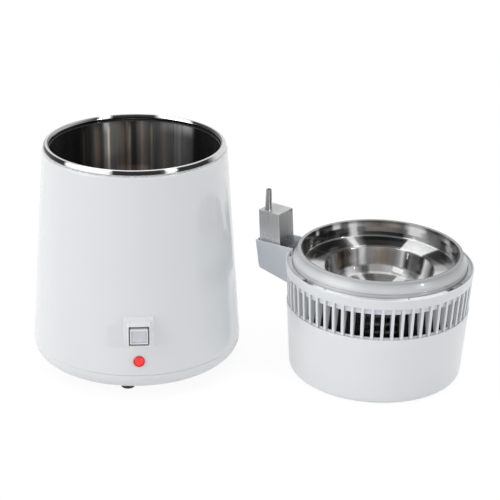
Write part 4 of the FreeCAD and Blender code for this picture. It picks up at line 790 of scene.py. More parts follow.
def standingPlates(name, outline, turns, half):
    # plates along the radius: a (radius, height) outline on two faces, half a thickness to either side,
    # turned round the head's axis
    r, z = outline[None, None, :, 0], outline[None, None, :, 1]
    side = np.array([-1, 1])[None, :, None] * half
    cosine, sine = np.cos(turns)[:, None, None], np.sin(turns)[:, None, None]
    x = headMiddle[0] + (r * cosine - side * sine) * mm
    y = headMiddle[1] + (r * sine + side * cosine) * mm
    points = np.stack([x, y, z * mm + 0 * x], -1)
    corners = len(outline)
    edges = copiedFaces(gridFaces(2, corners, False, True), len(turns), 2 * corners)
    firstFace = (np.arange(len(turns)) * 2 * corners)[:, None] + np.arange(corners)
    faces = np.concatenate([firstFace[:, ::-1], firstFace + corners])
    return meshPiece(name, points, edges, True, 35.0, faces.tolist())


vaneSize = {"pitch": 6.1, "start": -109.4, "span": 357.0, "halfWidth": 1.55, "clearFromArm": 12.7}
vaneCount = math.ceil(vaneSize["span"] / vaneSize["pitch"])
vaneTurns = vaneSize["start"] + vaneSize["pitch"] * np.arange(vaneCount)
fromArm = np.abs((vaneTurns - armDegrees + 180) % 360 - 180)
vaneTurns = np.radians(vaneTurns[fromArm > vaneSize["clearFromArm"]])


def vaneOutline():
    # the inner edge is a curve P(1-t)^2 + 2 B t(1-t) + Q t^2, the outer one a run of corners
    t = np.linspace(0, 1, 8)[:, None]
    start, bend, end = np.array([[92.7, 76.8], [90.6, 84.5], [88.5, 104.7]])
    innerEdge = (1 - t) ** 2 * start + 2 * t * (1 - t) * bend + t ** 2 * end
    outerEdge = [(96.3, 104.7), (96.3, 112.3), (98.9, 112.3), (98.2, 102.0), (97.35, 88.0), (96.6, 76.8)]
    return np.vstack([innerEdge, outerEdge])


vanePiece = standingPlates("vent_vanes", vaneOutline(), vaneTurns, vaneSize["halfWidth"])
soften(vanePiece, 0.45, 2, 50.0)
dress(vanePiece, "head", finish["ventWhite"], ["vent_ring"])

finSize = {"inner": 66.0, "outer": 84.5, "low": 59.0, "high": 103.0, "half": 0.2, "first": 50.0,
           "last": 351.0, "pitch": 1.25, "steamTurn": 126.8, "clearOfSteam": 3.4}
inner, outer, low, high = (finSize[key] for key in ("inner", "outer", "low", "high"))
finOutline = np.array([(inner, low), (outer, low), (outer, high), (inner, high)])
finTurns = np.arange(finSize["first"], finSize["last"], finSize["pitch"])
finTurns = finTurns[np.abs(finTurns - finSize["steamTurn"]) > finSize["clearOfSteam"]]
finPiece = standingPlates("fin_pack", finOutline, np.radians(finTurns + armDegrees), finSize["half"])
dress(finPiece, "head", finish["finBlack"], ["condenser_fins"])
print("scene: cover, vents and fins made")


# Arm: a tub drawn as rows of an open rounded outline

armSize = {"half": 18.5, "top": 120.6, "foot": 90.0, "wall": 1.1, "start": 96.3, "end": 143.7, "corner": 1.3,
           "round": 1.4, "endLean": 4.1, "leanDepth": 25.3, "chinHeight": 94.5, "chinDepth": 5.0,
           "chin": 2.8}
armFloorLine = np.array([(96.0, 78.0), (99.3, 78.0), (101.8, 78.7), (132.5, 87.2), (143.7, 90.3)])


def armFloor(x):
    # the floor rises outwards in straight runs of (distance from the axis, height)
    return np.interp(x, armFloorLine[:, 0], armFloorLine[:, 1])


def armEnd(height):
    # the end wall leans inwards on its way down, and its chin curves in as the square of the depth
    lean = armSize["endLean"] * np.clip((armSize["top"] - height) / armSize["leanDepth"], 0, 1)
    chin = armSize["chin"] * np.clip((armSize["chinHeight"] - height) / armSize["chinDepth"], 0, 1) ** 2
    return armSize["end"] - lean, chin


def armPoints():
    # each row is the plan outline (side, corner, end, corner, side) drawn in by an inset:
    # the wall's rows run from the rim down to the sloping floor, then a quarter round, then the floor itself
    top, start, bend = armSize["top"], armSize["start"], armSize["round"]
    wall = [(t, bend, 0.0) for t in np.linspace(0, 1, 7)]
    quarter = np.linspace(0, math.pi / 2, 6)[1:]
    curve = [(1.0, bend * (1 - math.sin(turn)), bend * (1 - math.cos(turn))) for turn in quarter]
    flat = [(1.0, 0.0, inset) for inset in (5.0, 9.0, 13.5, 18.4)]
    rows = np.array(wall + curve + flat)
    t, lift, inset = rows[:, 0:1], rows[:, 1:2], rows[:, 2:3]
    straight, chin = armEnd(top + t * (armSize["foot"] + lift - top))
    end = straight - inset - chin
    half = armSize["half"] - inset
    corner = np.maximum(armSize["corner"] - inset, 0.05)
    run = np.linspace(0, 1, 14)[None, :]
    arc = np.linspace(0, math.pi / 2, 6)[None, 1:-1]
    across = np.linspace(-1, 1, 7)[None, :]
    sideX, sideY = start + run * (end - corner - start), -half + 0 * run
    arcX, arcY = end - corner + corner * np.sin(arc), -half + corner - corner * np.cos(arc)
    endX, endY = end + 0 * across, (half - corner) * across
    x = np.hstack([sideX, arcX, endX, arcX[:, ::-1], sideX[:, ::-1]])
    y = np.hstack([sideY, arcY, endY, -arcY[:, ::-1], -sideY[:, ::-1]])
    floor = armFloor(x)
    z = np.where(t < 1, top + t * (floor + lift - top), floor + lift)
    return np.stack([x, y, z], -1) * mm


onHead = uprightPlace(headMiddle, armTurn)


def armPlastic():
    # matt moulding with painted light: a little lighter towards the head, and a painted highlight on the
    # rim's top edge
    material, tree, shader = startMaterial("white_arm_plastic", (0.84, 0.88, 0.93), 0.38, coat=0.15)
    _, distance, height = roundParts(tree, headMiddle)
    along = rampOf(tree, distance, [(0.0, (0.93, 0.96, 1.0)), (0.098, (0.93, 0.96, 1.0)),
                                    (0.112, (0.86, 0.90, 0.95)), (0.145, (0.80, 0.84, 0.89))], "LINEAR")
    cloud = noiseOf(tree, objectPoint(tree), 20.0)
    rim = rampOf(tree, cloud, [(0.3, (0.95, 0.97, 0.99)), (0.7, (0.97, 0.98, 1.0))])
    # painted highlight along the rim's top edge
    onRim = stepMask(tree, height, 0.1200, 0.1205)
    tree.links.new(mixOf(tree, onRim, along, rim), shader.inputs["Base Color"])
    smudge = noiseOf(tree, objectPoint(tree), 52.0, 4.0)
    tree.links.new(rampOf(tree, smudge, [(0.25, 0.32), (0.75, 0.44)]), shader.inputs["Roughness"])
    bumpInto(tree, shader, noiseOf(tree, objectPoint(tree), 500.0), 0.00002)
    return material


finish["armWhite"] = armPlastic()
armGrid = armPoints()[::-1]
armFaces = gridFaces(armGrid.shape[0], armGrid.shape[1], False, False)
armPiece = meshPiece("arm_tub", onHead(armGrid), armFaces, False, 40.0)
wallThickness(armPiece, armSize["wall"], 0.25)
dress(armPiece, "head", finish["armWhite"], ["outlet_arm"])

# the four ribs the cup stands on: upright plates with softened tops, from the arm's floor to the cup's foot
ribSize = {"spots": (122.3, 134.8), "half": 1.5, "inner": 10.4, "outer": 18.0, "top": 113.0, "sunk": 0.4}


def ribPoints():
    # rows of (inset, height share) on a rounded rectangle; height = floor + share * (top - floor)
    rows = np.array([(3.0, 0.0), (0.0, 0.0), (0.0, 0.985), (0.12, 0.995), (0.35, 1.0), (1.4, 1.0)])
    corner = 0.02
    halfX = np.maximum(ribSize["half"] - rows[:, 0], corner)
    halfY = np.maximum((ribSize["outer"] - ribSize["inner"]) / 2 - rows[:, 0], corner)
    x, y = roundedRectangle(halfX, halfY, corner, 3)
    spotX = np.repeat(ribSize["spots"], 2)[:, None, None]
    side = np.array([-1, 1, -1, 1])[:, None, None] * (ribSize["outer"] + ribSize["inner"]) / 2
    x, y = x[None] + spotX, y[None] + side
    low = armFloor(x) + ribSize["sunk"]
    z = low + rows[None, :, 1:2] * (ribSize["top"] - low)
    return np.stack([x, y, z], -1) * mm


ribs = ribPoints()
ribCount, ribRows, ribColumns, _ = ribs.shape
ribFaces = copiedFaces(gridFaces(ribRows, ribColumns, False, True), ribCount, ribRows * ribColumns)
ribPiece = meshPiece("arm_ribs", onHead(ribs), ribFaces, True)
dress(ribPiece, "head", finish["armWhite"], ["outlet_arm"])

# Carrier with its notches

carrierCorners = [(92.8, 105.0), (96.0, 105.0), (96.0, 117.2), (92.8, 117.2), (92.8, 117.0), (70.0, 117.0),
                  (70.0, 114.5), (92.8, 114.5)]
carrierGap = math.degrees(math.asin(19.5 / 96.0))   # half the gap that the arm needs
carrierSpan = (armDegrees + carrierGap, armDegrees + 360 - carrierGap)
carrierPiece = arcPieces("carrier_ring", eased(carrierCorners, 0.25, 3, True), headMiddle, [carrierSpan])
dress(carrierPiece, "head", finish["carrierWhite"], ["dish_carrier"])
notches = [(-154.2, -145.1), (-136.0, -135.0), (-82.2, -81.2), (-53.8, -47.8), (-40.0, -39.0), (10.0, 16.0),
           (55.0, 56.0), (95.0, 104.0)]
crownStart, crownEnd = armDegrees - 360 + carrierGap + 13, armDegrees - carrierGap
edges = [crownStart] + [turn for notch in notches for turn in notch] + [crownEnd]
crownLine = eased([(92.8, 117.1), (96.0, 117.1), (96.0, 120.4), (97.15, 120.4), (97.15, 121.6),
                   (92.8, 121.6)], (0.3, 0.3, 0.1, 0.1, 0.15, 0.5), 4, True)
crownPiece = arcPieces("carrier_crown", crownLine, headMiddle, list(zip(edges[0::2], edges[1::2])))
dress(crownPiece, "head", finish["ringTop"], ["dish_carrier"])

# Seal

# painted light and shade on the seal by height, as (metres, shade), and round it, as (degrees, shade)
sealPaintedShades = {
    "height": [(0.0, 0.56), (0.1235, 0.57), (0.1244, 0.50), (0.1252, 0.58), (0.1262, 0.68), (0.1285, 0.72),
               (0.1300, 0.67), (0.1325, 0.61), (0.1345, 0.53), (0.1352, 0.28), (0.1359, 0.26),
               (0.1362, 0.42), (0.15, 0.45)],
    "turn": [(-180, 1), (-150, 1), (-122, 1), (-105, 0.9), (-85, 0.85), (-65, 0.8), (-30, 0.7), (0, 0.7),
             (25, 0.75), (60, 0.8), (110, 0.85), (150, 0.9), (180, 1)],
}


def siliconeRubber():
    # milky and soft in the light, with painted light and shade by height and round the ring over a faint
    # cloud
    material, tree, shader = startMaterial("milky_silicone", (0.62, 0.64, 0.66), 0.32, coat=0.2)
    shader.inputs["Subsurface Weight"].default_value = 0.15
    shader.inputs["Subsurface Radius"].default_value = (0.001, 0.001, 0.001)
    shader.inputs["Subsurface Scale"].default_value = 1.0
    turnPart, _, height = roundParts(tree, headMiddle)
    cloud = noiseOf(tree, objectPoint(tree), 26.0, 2.0)
    milky = rampOf(tree, cloud, [(0.3, (0.93, 0.95, 0.97)), (0.7, (0.97, 0.99, 1.0))])
    byHeight = blendOf(tree, "MULTIPLY", milky, rampOf(tree, height, sealPaintedShades["height"], "LINEAR"))
    byTurn = blendOf(tree, "MULTIPLY", byHeight, turnBands(tree, turnPart, sealPaintedShades["turn"]))
    tree.links.new(byTurn, shader.inputs["Base Color"])
    tree.links.new(rampOf(tree, cloud, [(0.3, 0.3), (0.7, 0.36)]), shader.inputs["Roughness"])
    bumpInto(tree, shader, noiseOf(tree, objectPoint(tree), 300.0), 0.00003)
    return material


finish["silicone"] = siliconeRubber()
sealCorners = [(82.6, 117.05), (92.4, 117.05), (92.4, 123.8), (91.6, 124.6), (92.4, 125.4), (92.4, 126.4),
               (90.6, 128.2), (88.1, 133.6), (87.7, 136.2), (87.0, 136.4), (85.2, 136.1), (84.9, 136.45),
               (84.1, 136.45), (84.1, 135.6), (81.9, 120.8)]
sealReach = (0.5, 0.7, 0.5, 0.4, 0.5, 0.8, 0.8, 0.6, 0.6, 0.4, 0.12, 0.15, 0.15, 0.15, 0.3)
sealPiece = turnedPiece("seal_ring", eased(sealCorners, sealReach, 4, True), headMiddle, 224)
dress(sealPiece, "head", finish["silicone"], ["silicone_gasket"])

# Dish: one pressed sheet, both of its faces

dishTop = eased([(84.0, 136.2), (82.9, 136.2), (80.5, 118.8), (57.9, 116.5), (54.2, 97.0), (49.5, 87.5),
                 (38.0, 86.0), (0, 86.0)], (0.25, 1.9, 2.2, 4.5, 4.5, 4.0), 7)
dishUnder = eased([(0, 85.2), (38.4, 85.2), (50.2, 86.8), (55.0, 96.6), (58.5, 115.7), (81.3, 118.0),
                   (83.7, 136.0), (84.0, 136.2)], (4.0, 4.5, 4.5, 2.0, 1.9, 0.2), 7)
dishLine = finer(np.vstack([dishTop, dishUnder]), 4.0)
dishPiece = turnedPiece("pressed_dish", dishLine, headMiddle, 224)
# painted reflections round the dish, as (degrees, shade): its wall at three heights, the floor, and down the
# bowl
dishReflections = {
    "wall": [(-180, pale), (-150, grey), (-60, grey), (0, dark), (6, darkest), (11, grey), (17, grey),
             (21, darkest), (25, dark), (28, dim), (39, grey), (44, pale), (48, white), (56, white),
             (59, grey), (62, dim), (66, dim), (72, warmGrey), (90, warmGrey), (93, dim), (98, grey),
             (99.5, white), (103.5, white), (106, dim), (116, dark), (120, darkest), (140, darkest),
             (146, grey), (150, dark), (165, darkest), (172, grey), (180, pale)],
    "wallHigh": [(-180, pale), (-150, grey), (-60, grey), (2, darkest), (12, dark), (17, pale), (20, pale),
                 (24, grey), (32, dim), (41, grey), (45, white), (56, white), (62, dim), (70, warmPale),
                 (80, bronze), (94, grey), (98, pale), (99.5, white), (104, white), (107, dim),
                 (111, dim), (114, white), (118, white), (121, dark), (133, darkest), (136, white),
                 (139, dark), (165, darkest), (171, dark), (178, pale), (180, pale)],
    "wallLow": [(-180, pale), (-150, grey), (-60, grey), (2, dim), (9, pale), (16, grey), (20, darkest),
                (25, dark), (36, grey), (46, pale), (52, pale), (59, grey), (62, darkest), (92, dark),
                (97, grey), (99.5, white), (103, white), (106, dark), (118, dark), (132, darkest),
                (138, dim), (142, dark), (148, dim), (154, darkest), (166, darkest), (174, grey), (180, pale)],
    "floor": [(-180, pale), (-130, dim), (-100, pale), (-60, grey), (-20, pale), (-12, grey), (-5, grey),
              (3, dark), (14, darkest), (22, darkest), (27.5, dark), (29, white), (56, white), (57.5, dark),
              (75, darkest), (93, darkest), (97, dim), (101, grey), (103, white), (107.2, white), (109, grey),
              (114, dark), (120, darkest), (142, darkest), (144, dark), (146, darkest), (158, darkest), (161, dark),
              (165, grey), (169, pale), (180, pale)],
    "bowl": [(-180, dark), (-140, grey), (-100, dim), (-60, pale), (-30, dim), (0, dark), (12, pale),
             (20, white), (24, dark), (27, dark), (31, dim), (38, dim), (43, grey), (46, dark), (49, dim),
             (53, white), (57, pale), (61, grey), (70, warmGrey), (80, warmPale), (94, grey), (99, white),
             (102, white), (105, grey), (108, pale), (113, warmGrey), (117, dark), (125, brown),
             (134, bronze), (141, grey), (150, dim), (180, dark)],
    "deep": [(-180, grey), (-120, pale), (-60, grey), (0, pale), (12, white), (20, white), (28, grey),
             (38, grey), (46, pale), (54, grey), (62, grey), (66, pale), (78, grey), (90, grey),
             (94, dark), (100, dark), (106, grey), (110, pale), (112, white), (120, white), (126, dim),
             (134, grey), (155, darkest), (180, grey)],
    "bottom": [(-180, grey), (-120, pale), (-60, grey), (0, pale), (12, white), (20, white), (30, dark),
               (39, grey), (40.5, white), (54, white), (55.5, dim), (84, dim), (88, dark), (98, dark),
               (102.5, grey), (104, white), (109, white), (111, grey), (118, bronze), (120, pale),
               (122, pale), (126, dark), (140, grey), (155, darkest), (180, grey)],
}
# where one part of the dish gives way to the next: heights, and distances from its middle, in metres
dishZones = {"deep": (0.0872, 0.0886), "bowl": (0.0945, 0.0975), "floor": (0.0572, 0.0584),
             "wall": (0.0798, 0.0806), "wallMiddle": (0.1236, 0.1252), "wallHigh": (0.1288, 0.1308)}


def mirrorDish():
    # painted reflections in bands for each part, a painted light ledge at the wall's foot and a painted dark
    # line below the wall's edge
    material, tree, shader = startMaterial("mirror_dish_steel", (0.7, 0.7, 0.7), 0.1, 0.6)
    turnPart, distance, height = roundParts(tree, headMiddle)
    swim = wavering(tree, turnPart, 0.005, (1, 1, 1), 30.0)
    bands = {zone: turnBands(tree, swim, stops) for zone, stops in dishReflections.items()}
    inBowl = mixOf(tree, stepMask(tree, height, *dishZones["deep"]), bands["bottom"], bands["deep"])
    inBowl = mixOf(tree, stepMask(tree, height, *dishZones["bowl"]), inBowl, bands["bowl"])
    onFloor = mixOf(tree, stepMask(tree, distance, *dishZones["floor"]), inBowl, bands["floor"])
    onWall = mixOf(tree, stepMask(tree, height, *dishZones["wallMiddle"]), bands["wallLow"], bands["wall"])
    onWall = mixOf(tree, stepMask(tree, height, *dishZones["wallHigh"]), onWall, bands["wallHigh"])
    # painted shade: a dark line below the wall's edge
    upright = [(0.0, 1.0), (0.1330, 1.0), (0.1342, 0.7), (0.1354, 0.3), (0.1360, 0.25)]
    onWall = blendOf(tree, "MULTIPLY", onWall, rampOf(tree, height, upright, "LINEAR"))
    # painted light on the ledge at the wall's foot
    ledge = rampOf(tree, height, [(0.0, 0.62), (0.1196, 0.62), (0.1206, 0.0)], "LINEAR")
    onWall = mixOf(tree, ledge, onWall, rampOf(tree, swim, [(0.0, 0.75), (0.6, 0.45), (1.0, 0.75)]))
    shade = mixOf(tree, stepMask(tree, distance, *dishZones["wall"]), onFloor, onWall)
    keepPaintedHighlightsBright(tree, shader, shade, 0.75, 0.1)
    return polish(material, tree, shader, shade, 0.1, 0.12)


finish["dishSteel"] = mirrorDish()
dress(dishPiece, "head", finish["dishSteel"], ["condenser_dish"])
print("scene: arm, carrier, seal and dish made")

# Fan: swept blades on a round hub

fanSize = {"blades": 5, "hub": 15.0, "tip": 59.6, "low": 37.0, "high": 51.0, "thick": 1.6, "bore": 2.55,
           "hubLow": 36.2, "hubHigh": 52.0, "sweep": 0.30, "rootChord": 0.95, "chordLoss": 0.25}


def fanPoints():
    # radius runs from inside the hub to the tip, the chord's angle narrows and sweeps forward on the way,
    # and the height follows the chord from low to high with a slight camber
    r = np.linspace(fanSize["hub"] - 1.0, fanSize["tip"], 14)[:, None]
    along = np.linspace(-0.5, 0.5, 9)[None, :]
    span = fanSize["tip"] - fanSize["hub"]
    sweep = fanSize["sweep"] * (np.maximum(r - fanSize["hub"], 0.0) / span) ** 1.6
    chord = fanSize["rootChord"] - fanSize["chordLoss"] * (r - fanSize["hub"]) / span
    turns = np.arange(fanSize["blades"])[:, None, None] * 2 * math.pi / fanSize["blades"]
    angle = (chord * along + sweep)[None] + turns
    rise = fanSize["high"] - fanSize["low"] - 2.6
    z = (fanSize["low"] + fanSize["high"]) / 2 + rise * (along + 0.35 * (0.25 - along ** 2)) + 0 * r
    x = headMiddle[0] + r * mm * np.cos(angle)
    y = headMiddle[1] + r * mm * np.sin(angle)
    return np.stack([x, y, z[None] * mm + 0 * x], -1)


blades = fanPoints()
bladeCount, bladeRows, bladeColumns, _ = blades.shape
oneBlade = gridFaces(bladeRows, bladeColumns, False, False)
bladeFaces = copiedFaces(oneBlade, bladeCount, bladeRows * bladeColumns)
bladePiece = meshPiece("swept_blades", blades, bladeFaces, False)
thick = bladePiece.modifiers.new("thick", "SOLIDIFY")
thick.thickness = fanSize["thick"] * mm
thick.offset = 0.0
dress(bladePiece, "fan", finish["fanBlack"], ["fan_blades"])
bore, hub, hubLow, hubHigh = (fanSize[key] for key in ("bore", "hub", "hubLow", "hubHigh"))
hubLine = eased([(bore, hubLow), (hub, hubLow), (hub, hubHigh), (bore, hubHigh)], 1.6, 5, True)
hubPiece = turnedPiece("fan_hub", hubLine, headMiddle, 64)
dress(hubPiece, "fan", finish["fanBlack"], ["fan_blades"])
print("scene: fan made")

# Cup and nozzle

cupSize = {"reach": 129.3, "length": 26.8, "width": 26.8, "top": 154.4, "low": 113.0, "wall": 0.8,
           "turn": -5.0, "outerTaper": 2.5, "innerTaper": 3.2}
cupTurn = armTurn + math.radians(cupSize["turn"])
cupCentre = headMiddle + cupSize["reach"] * mm * np.array([math.cos(armTurn), math.sin(armTurn), 0])
onCup = uprightPlace(cupCentre, cupTurn)


def cupRow(height, inset, corner):
    # a rounded rectangle whose two ends both move towards the head's axis with depth
    top, low = cupSize["top"], cupSize["low"]
    down = np.clip((top - height) / (top - low), 0, 1)
    innerEnd = -cupSize["length"] / 2 - cupSize["innerTaper"] * down + inset
    outerEnd = cupSize["length"] / 2 - cupSize["outerTaper"] * down - inset
    return ((outerEnd - innerEnd) / 2, cupSize["width"] / 2 - inset, max(corner - inset, 0.05), height,
            (innerEnd + outerEnd) / 2, 0.0)


# the lid and its softened edge, the outer wall down to the foot, and the inner wall up to under the lid
cupTop, cupFoot, cupWall = cupSize["top"], cupSize["low"], cupSize["wall"]
cupRows = [cupRow(cupTop - drop, inset, corner) for drop, inset, corner in (
    (0.0, 13.2, 13.2), (0.0, 9.0, 9.5), (0.0, 5.0, 5.5), (0.0, 0.9, 1.4), (0.08, 0.42, 1.0),
    (0.28, 0.1, 0.75), (0.55, 0.0, 0.7))]
cupRows += [cupRow(height, 0.0, 0.7) for height in np.linspace(150, cupFoot, 8)]
cupRows += [cupRow(height, cupWall, 1.1) for height in np.linspace(cupFoot, 153.2, 8)]
cupRows += [cupRow(cupTop - cupWall, 1.6, 1.9), cupRow(cupTop - cupWall, 13.2, 13.2)]
cupPiece = stackedSections("cup_shell", cupRows, onCup)

# painted reflections on the cup's narrow ends and broad sides by height, as (metres, shade)
cupReflections = {
    "ends": [(0.0, 0.36), (0.118, 0.38), (0.127, 0.34), (0.140, 0.36), (0.1522, 0.36), (0.1532, 0.2),
             (0.2, 0.2)],
    "broad": [(0.0, 0.95), (0.118, 0.92), (0.127, 0.74), (0.140, 0.60), (0.2, 0.56)],
}
# the broad sides begin at this distance from the cup's middle line, the lid at this height
cupZones = {"broad": (0.0127, 0.0132), "lid": (0.1541, 0.15435)}


def cupFaces():
    # ground sheet with painted reflections: the broad sides lighter towards the foot, the narrow ends darker
    # with a painted dark line under the lid, the lid mid grey
    material, tree, shader = startMaterial("brushed_cup_steel", (0.4, 0.4, 0.4), 0.34, 0.6)
    parts = addNode(tree, "ShaderNodeSeparateXYZ")
    tree.links.new(objectPoint(tree, centre=cupCentre, turn=-cupTurn), parts.inputs["Vector"])
    _, y, z = parts.outputs
    ripple = mathOf(tree, "SUBTRACT", noiseOf(tree, objectPoint(tree, (1, 1, 0.5)), 45.0, 2.0), 0.5)
    height = mathOf(tree, "ADD", z, mathOf(tree, "MULTIPLY", ripple, 0.02))
    ends = rampOf(tree, height, cupReflections["ends"])
    broad = rampOf(tree, height, cupReflections["broad"])
    onBroad = stepMask(tree, mathOf(tree, "ABSOLUTE", y), *cupZones["broad"])
    lid = rampOf(tree, noiseOf(tree, objectPoint(tree), 70.0), [(0.3, 0.48), (0.7, 0.56)])
    shade = mixOf(tree, onBroad, ends, broad)
    shade = mixOf(tree, stepMask(tree, z, *cupZones["lid"]), shade, lid)
    return polish(material, tree, shader, shade, 0.34, 0.10, 500.0, (1, 1, 0.05))


finish["cupSteel"] = cupFaces()
dress(cupPiece, "cup", finish["cupSteel"], ["nozzle_cup"])

nozzleCentre = onHead(np.array([134.0, 7.7, 0]) * mm)      # along the arm and across it
nozzleLine = eased([(2.1, 154.3), (4.9, 154.3), (3.78, 155.4), (3.1, 178.45), (2.1, 178.45)],
                   (0.4, 1.0, 0.5, 0.3, 0.3), 5, True)
nozzlePiece = turnedPiece("outlet_nozzle", nozzleLine, nozzleCentre, 48)

# painted reflection streaks round the nozzle at its tip and at its foot, as (degrees, shade)
nozzleReflections = {
    "tip": [(-180, grey), (-160, grey), (-134, pale), (-115, grey), (-98, dim), (-81, grey), (-62, dim),
            (-36, grey), (180, grey)],
    "foot": [(-180, grey), (-115, grey), (-103, dark), (-93, dark), (-86, white), (-76, white),
             (-70, dim), (-60, dim), (-36, grey), (0, dim), (90, grey), (180, grey)],
}


def streakedTube():
    # painted reflections as upright streaks that soften from the foot to the tip
    material, tree, shader = startMaterial("polished_nozzle_steel", (0.4, 0.4, 0.4), 0.18, 0.8)
    turnPart, _, height = roundParts(tree, nozzleCentre)
    foot = turnBands(tree, turnPart, nozzleReflections["foot"])
    tip = turnBands(tree, turnPart, nozzleReflections["tip"])
    shade = mixOf(tree, stepMask(tree, height, 0.156, 0.176), foot, tip)
    return polish(material, tree, shader, shade, 0.18, 0.08, 900.0, (1, 1, 0.04))


finish["tubeSteel"] = streakedTube()
dress(nozzlePiece, "cup", finish["tubeSteel"], ["nozzle_tube"])
print("scene: cup and nozzle made")

# The other nodes keep their own mesh, smoothed where it is round

nodeFinish = {
    "base_pan": "whiteBase", "foot_screws": "zinc", "foot_nuts": "zinc", "base_screws": "zinc",
    "heat_shield": "galvanised", "switch_body": "blackPlastic", "lamp_nut": "blackPlastic",
    "mains_inlet": "blackPlastic", "inlet_pins": "brass", "inlet_screws": "zinc",
    "fan_socket": "blackPlastic", "fan_inlet": "blackPlastic", "fan_inlet_pins": "brass",
    "cover_screws": "zinc", "arm_screws": "zinc", "condenser_coil": "coilSteel", "steam_tube": "coilSteel",
    "motor_core": "motorSteel", "motor_winding": "copper", "motor_bracket": "zinc", "bracket_screws": "zinc",
    "motor_top_bearing": "zinc", "motor_rotor": "motorSteel", "fan_shaft": "zinc",
    "charcoal_pod": "charcoal",
}
slotFinish = {
    "white_paint": "whitePaint", "white_base": "whiteBase", "black_rubber": "rubber", "zinc_steel": "zinc",
    "pot_steel": "potSteel", "rim_steel": "rimSteel", "cast_aluminium": "aluminium",
    "heater_steel": "heaterSteel", "galvanised": "galvanised", "black_bakelite": "bakelite",
    "ceramic": "ceramic", "brass_parts": "brass", "white_switch": "switchWhite",
    "button_face": "buttonWhite", "red_lens": "redLens", "red_bezel": "redBezel",
    "black_plastic": "blackPlastic", "white_cover": "coverWhite", "white_vents": "ventWhite",
    "white_arm": "armWhite", "white_carrier": "carrierWhite", "dish_steel": "dishSteel",
    "silicone": "silicone", "coil_steel": "coilSteel", "fin_aluminium": "finBlack",
    "motor_steel": "motorSteel", "motor_coil": "copper", "black_fan": "fanBlack", "cup_steel": "cupSteel",
    "charcoal": "charcoal",
}
slotOf = {part["node"]: part["material_slot"] for part in frame["record"]["subparts"]}
for name, node in frame["nodes"].items():
    if node.hide_render:
        continue
    material = finish[nodeFinish.get(name, slotFinish.get(slotOf.get(name), "zinc"))]
    node.data.materials.clear()
    node.data.materials.append(material)
    node.data.polygons.foreach_set("use_smooth", np.ones(len(node.data.polygons), bool))
    weld = node.modifiers.new("weld", "WELD")
    weld.merge_threshold = 0.000002
    split = node.modifiers.new("sharp", "EDGE_SPLIT")
    split.split_angle = math.radians(30)
print("scene: kept nodes finished")


# Floor, light and camera

def pickWhenSeen(tree, unseen, seen):
    # the second shader where it is seen straight, mirrored or through glass, the first for all other light
    path = addNode(tree, "ShaderNodeLightPath")
    direct = mathOf(tree, "MAXIMUM", path.outputs["Is Camera Ray"], path.outputs["Is Glossy Ray"])
    pick = addNode(tree, "ShaderNodeMixShader")
    tree.links.new(mathOf(tree, "MAXIMUM", direct, path.outputs["Is Transmission Ray"]), pick.inputs["Fac"])
    tree.links.new(unseen, pick.inputs[1])
    tree.links.new(seen, pick.inputs[2])
    return pick.outputs[0]


def litShade(name, strength, keepShadow):
    # white where it is seen; a share of plain diffuse keeps the object's shadow
    material = bpy.data.materials.new(name)
    material.use_nodes = True
    tree = material.node_tree
    tree.nodes.clear()
    plain = addNode(tree, "ShaderNodeBsdfDiffuse")
    cloud = noiseOf(tree, objectPoint(tree), 3.0)
    tree.links.new(rampOf(tree, cloud, [(0.3, 0.80), (0.7, 0.82)]), plain.inputs["Color"])
    glow = addNode(tree, "ShaderNodeEmission", Strength=strength)
    both = addNode(tree, "ShaderNodeMixShader")
    both.inputs["Fac"].default_value = 1.0 - keepShadow
    tree.links.new(plain.outputs[0], both.inputs[1])
    tree.links.new(glow.outputs[0], both.inputs[2])
    out = addNode(tree, "ShaderNodeOutputMaterial")
    tree.links.new(pickWhenSeen(tree, plain.outputs[0], both.outputs[0]), out.inputs["Surface"])
    return material


floorSize = {"rings": (0.0, 0.5, 1.5, 4.0, 9.0), "columns": 64, "height": -0.0004}
ringRadii = np.array(floorSize["rings"])[:, None]
floorTurns = (np.arange(floorSize["columns"]) * 2 * math.pi / floorSize["columns"])[None, :]
floorPoints = np.stack([ringRadii * np.cos(floorTurns), ringRadii * np.sin(floorTurns),
                        floorSize["height"] + 0 * ringRadii * floorTurns], -1)
floorFaces = gridFaces(len(ringRadii), floorSize["columns"], False, True)[:, ::-1]
floorPiece = meshPiece("studio_floor", floorPoints, floorFaces, False)
floorPiece.data.materials.append(litShade("studio_white", 1.06, 0.14))

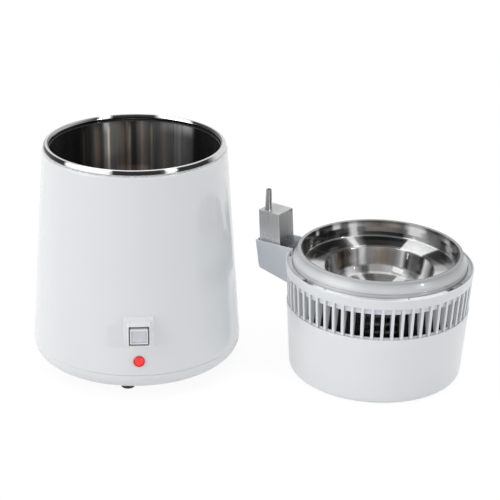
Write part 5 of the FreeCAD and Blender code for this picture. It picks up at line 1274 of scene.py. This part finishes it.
world = bpy.data.worlds.new("studio")
bpy.context.scene.world = world
world.use_nodes = True
tree = world.node_tree
tree.nodes.clear()
seenWhite = addNode(tree, "ShaderNodeBackground", Color=(1, 1, 1, 1), Strength=1.0)
ambient = addNode(tree, "ShaderNodeBackground", Color=(0.96, 0.98, 1.0, 1), Strength=0.45)
out = addNode(tree, "ShaderNodeOutputWorld")
tree.links.new(pickWhenSeen(tree, ambient.outputs[0], seenWhite.outputs[0]), out.inputs["Surface"])

lamps = {
    "key_soft": {"toward": (14.5, -12.5, 5.6), "strength": 0.55, "spread": 6.0, "colour": (1.0, 0.99, 0.97)},
    "left_fill": {"toward": (-14.0, -5.0, 6.0), "strength": 1.4, "spread": 50.0,
                  "colour": (1.0, 0.99, 0.975)},
    "top_soft": {"toward": (1.0, 2.0, 12.0), "strength": 1.1, "spread": 70.0, "colour": (1.0, 1.0, 1.0)},
}
for name, lamp in lamps.items():
    light = bpy.data.lights.new(name, "SUN")
    light.energy = lamp["strength"]
    light.angle = math.radians(lamp["spread"])
    light.color = lamp["colour"]
    holder = bpy.data.objects.new(name, light)
    bpy.context.scene.collection.objects.link(holder)
    toward = np.array(lamp["toward"], float)
    holder.rotation_mode = "QUATERNION"
    holder.rotation_quaternion = Vector(toward).to_track_quat("Z", "Y")

cameraSize = {"place": (-0.14107, -1.44250, 0.7347), "yaw": 5.54, "down": 22.77, "roll": 1.12,
              "lens": 105.74}
yaw, down, roll = (math.radians(cameraSize[key]) for key in ("yaw", "down", "roll"))
ahead = np.array([math.sin(yaw) * math.cos(down), math.cos(yaw) * math.cos(down), -math.sin(down)])
level = np.array([math.cos(yaw), -math.sin(yaw), 0])
above = np.cross(level, ahead)
right = math.cos(roll) * level + math.sin(roll) * above
up = -math.sin(roll) * level + math.cos(roll) * above
cameraData = bpy.data.cameras.new("front_camera")
cameraData.sensor_width = 36
cameraData.sensor_fit = "HORIZONTAL"
cameraData.lens = cameraSize["lens"]
camera = bpy.data.objects.new("front_camera", cameraData)
bpy.context.scene.collection.objects.link(camera)
columns = np.column_stack([right, up, -ahead, cameraSize["place"]])
camera.matrix_world = Matrix([*columns.tolist(), [0, 0, 0, 1]])
bpy.context.scene.camera = camera
bpy.context.scene.view_settings.view_transform = "Standard"

print("scene: floor, light and camera ready")
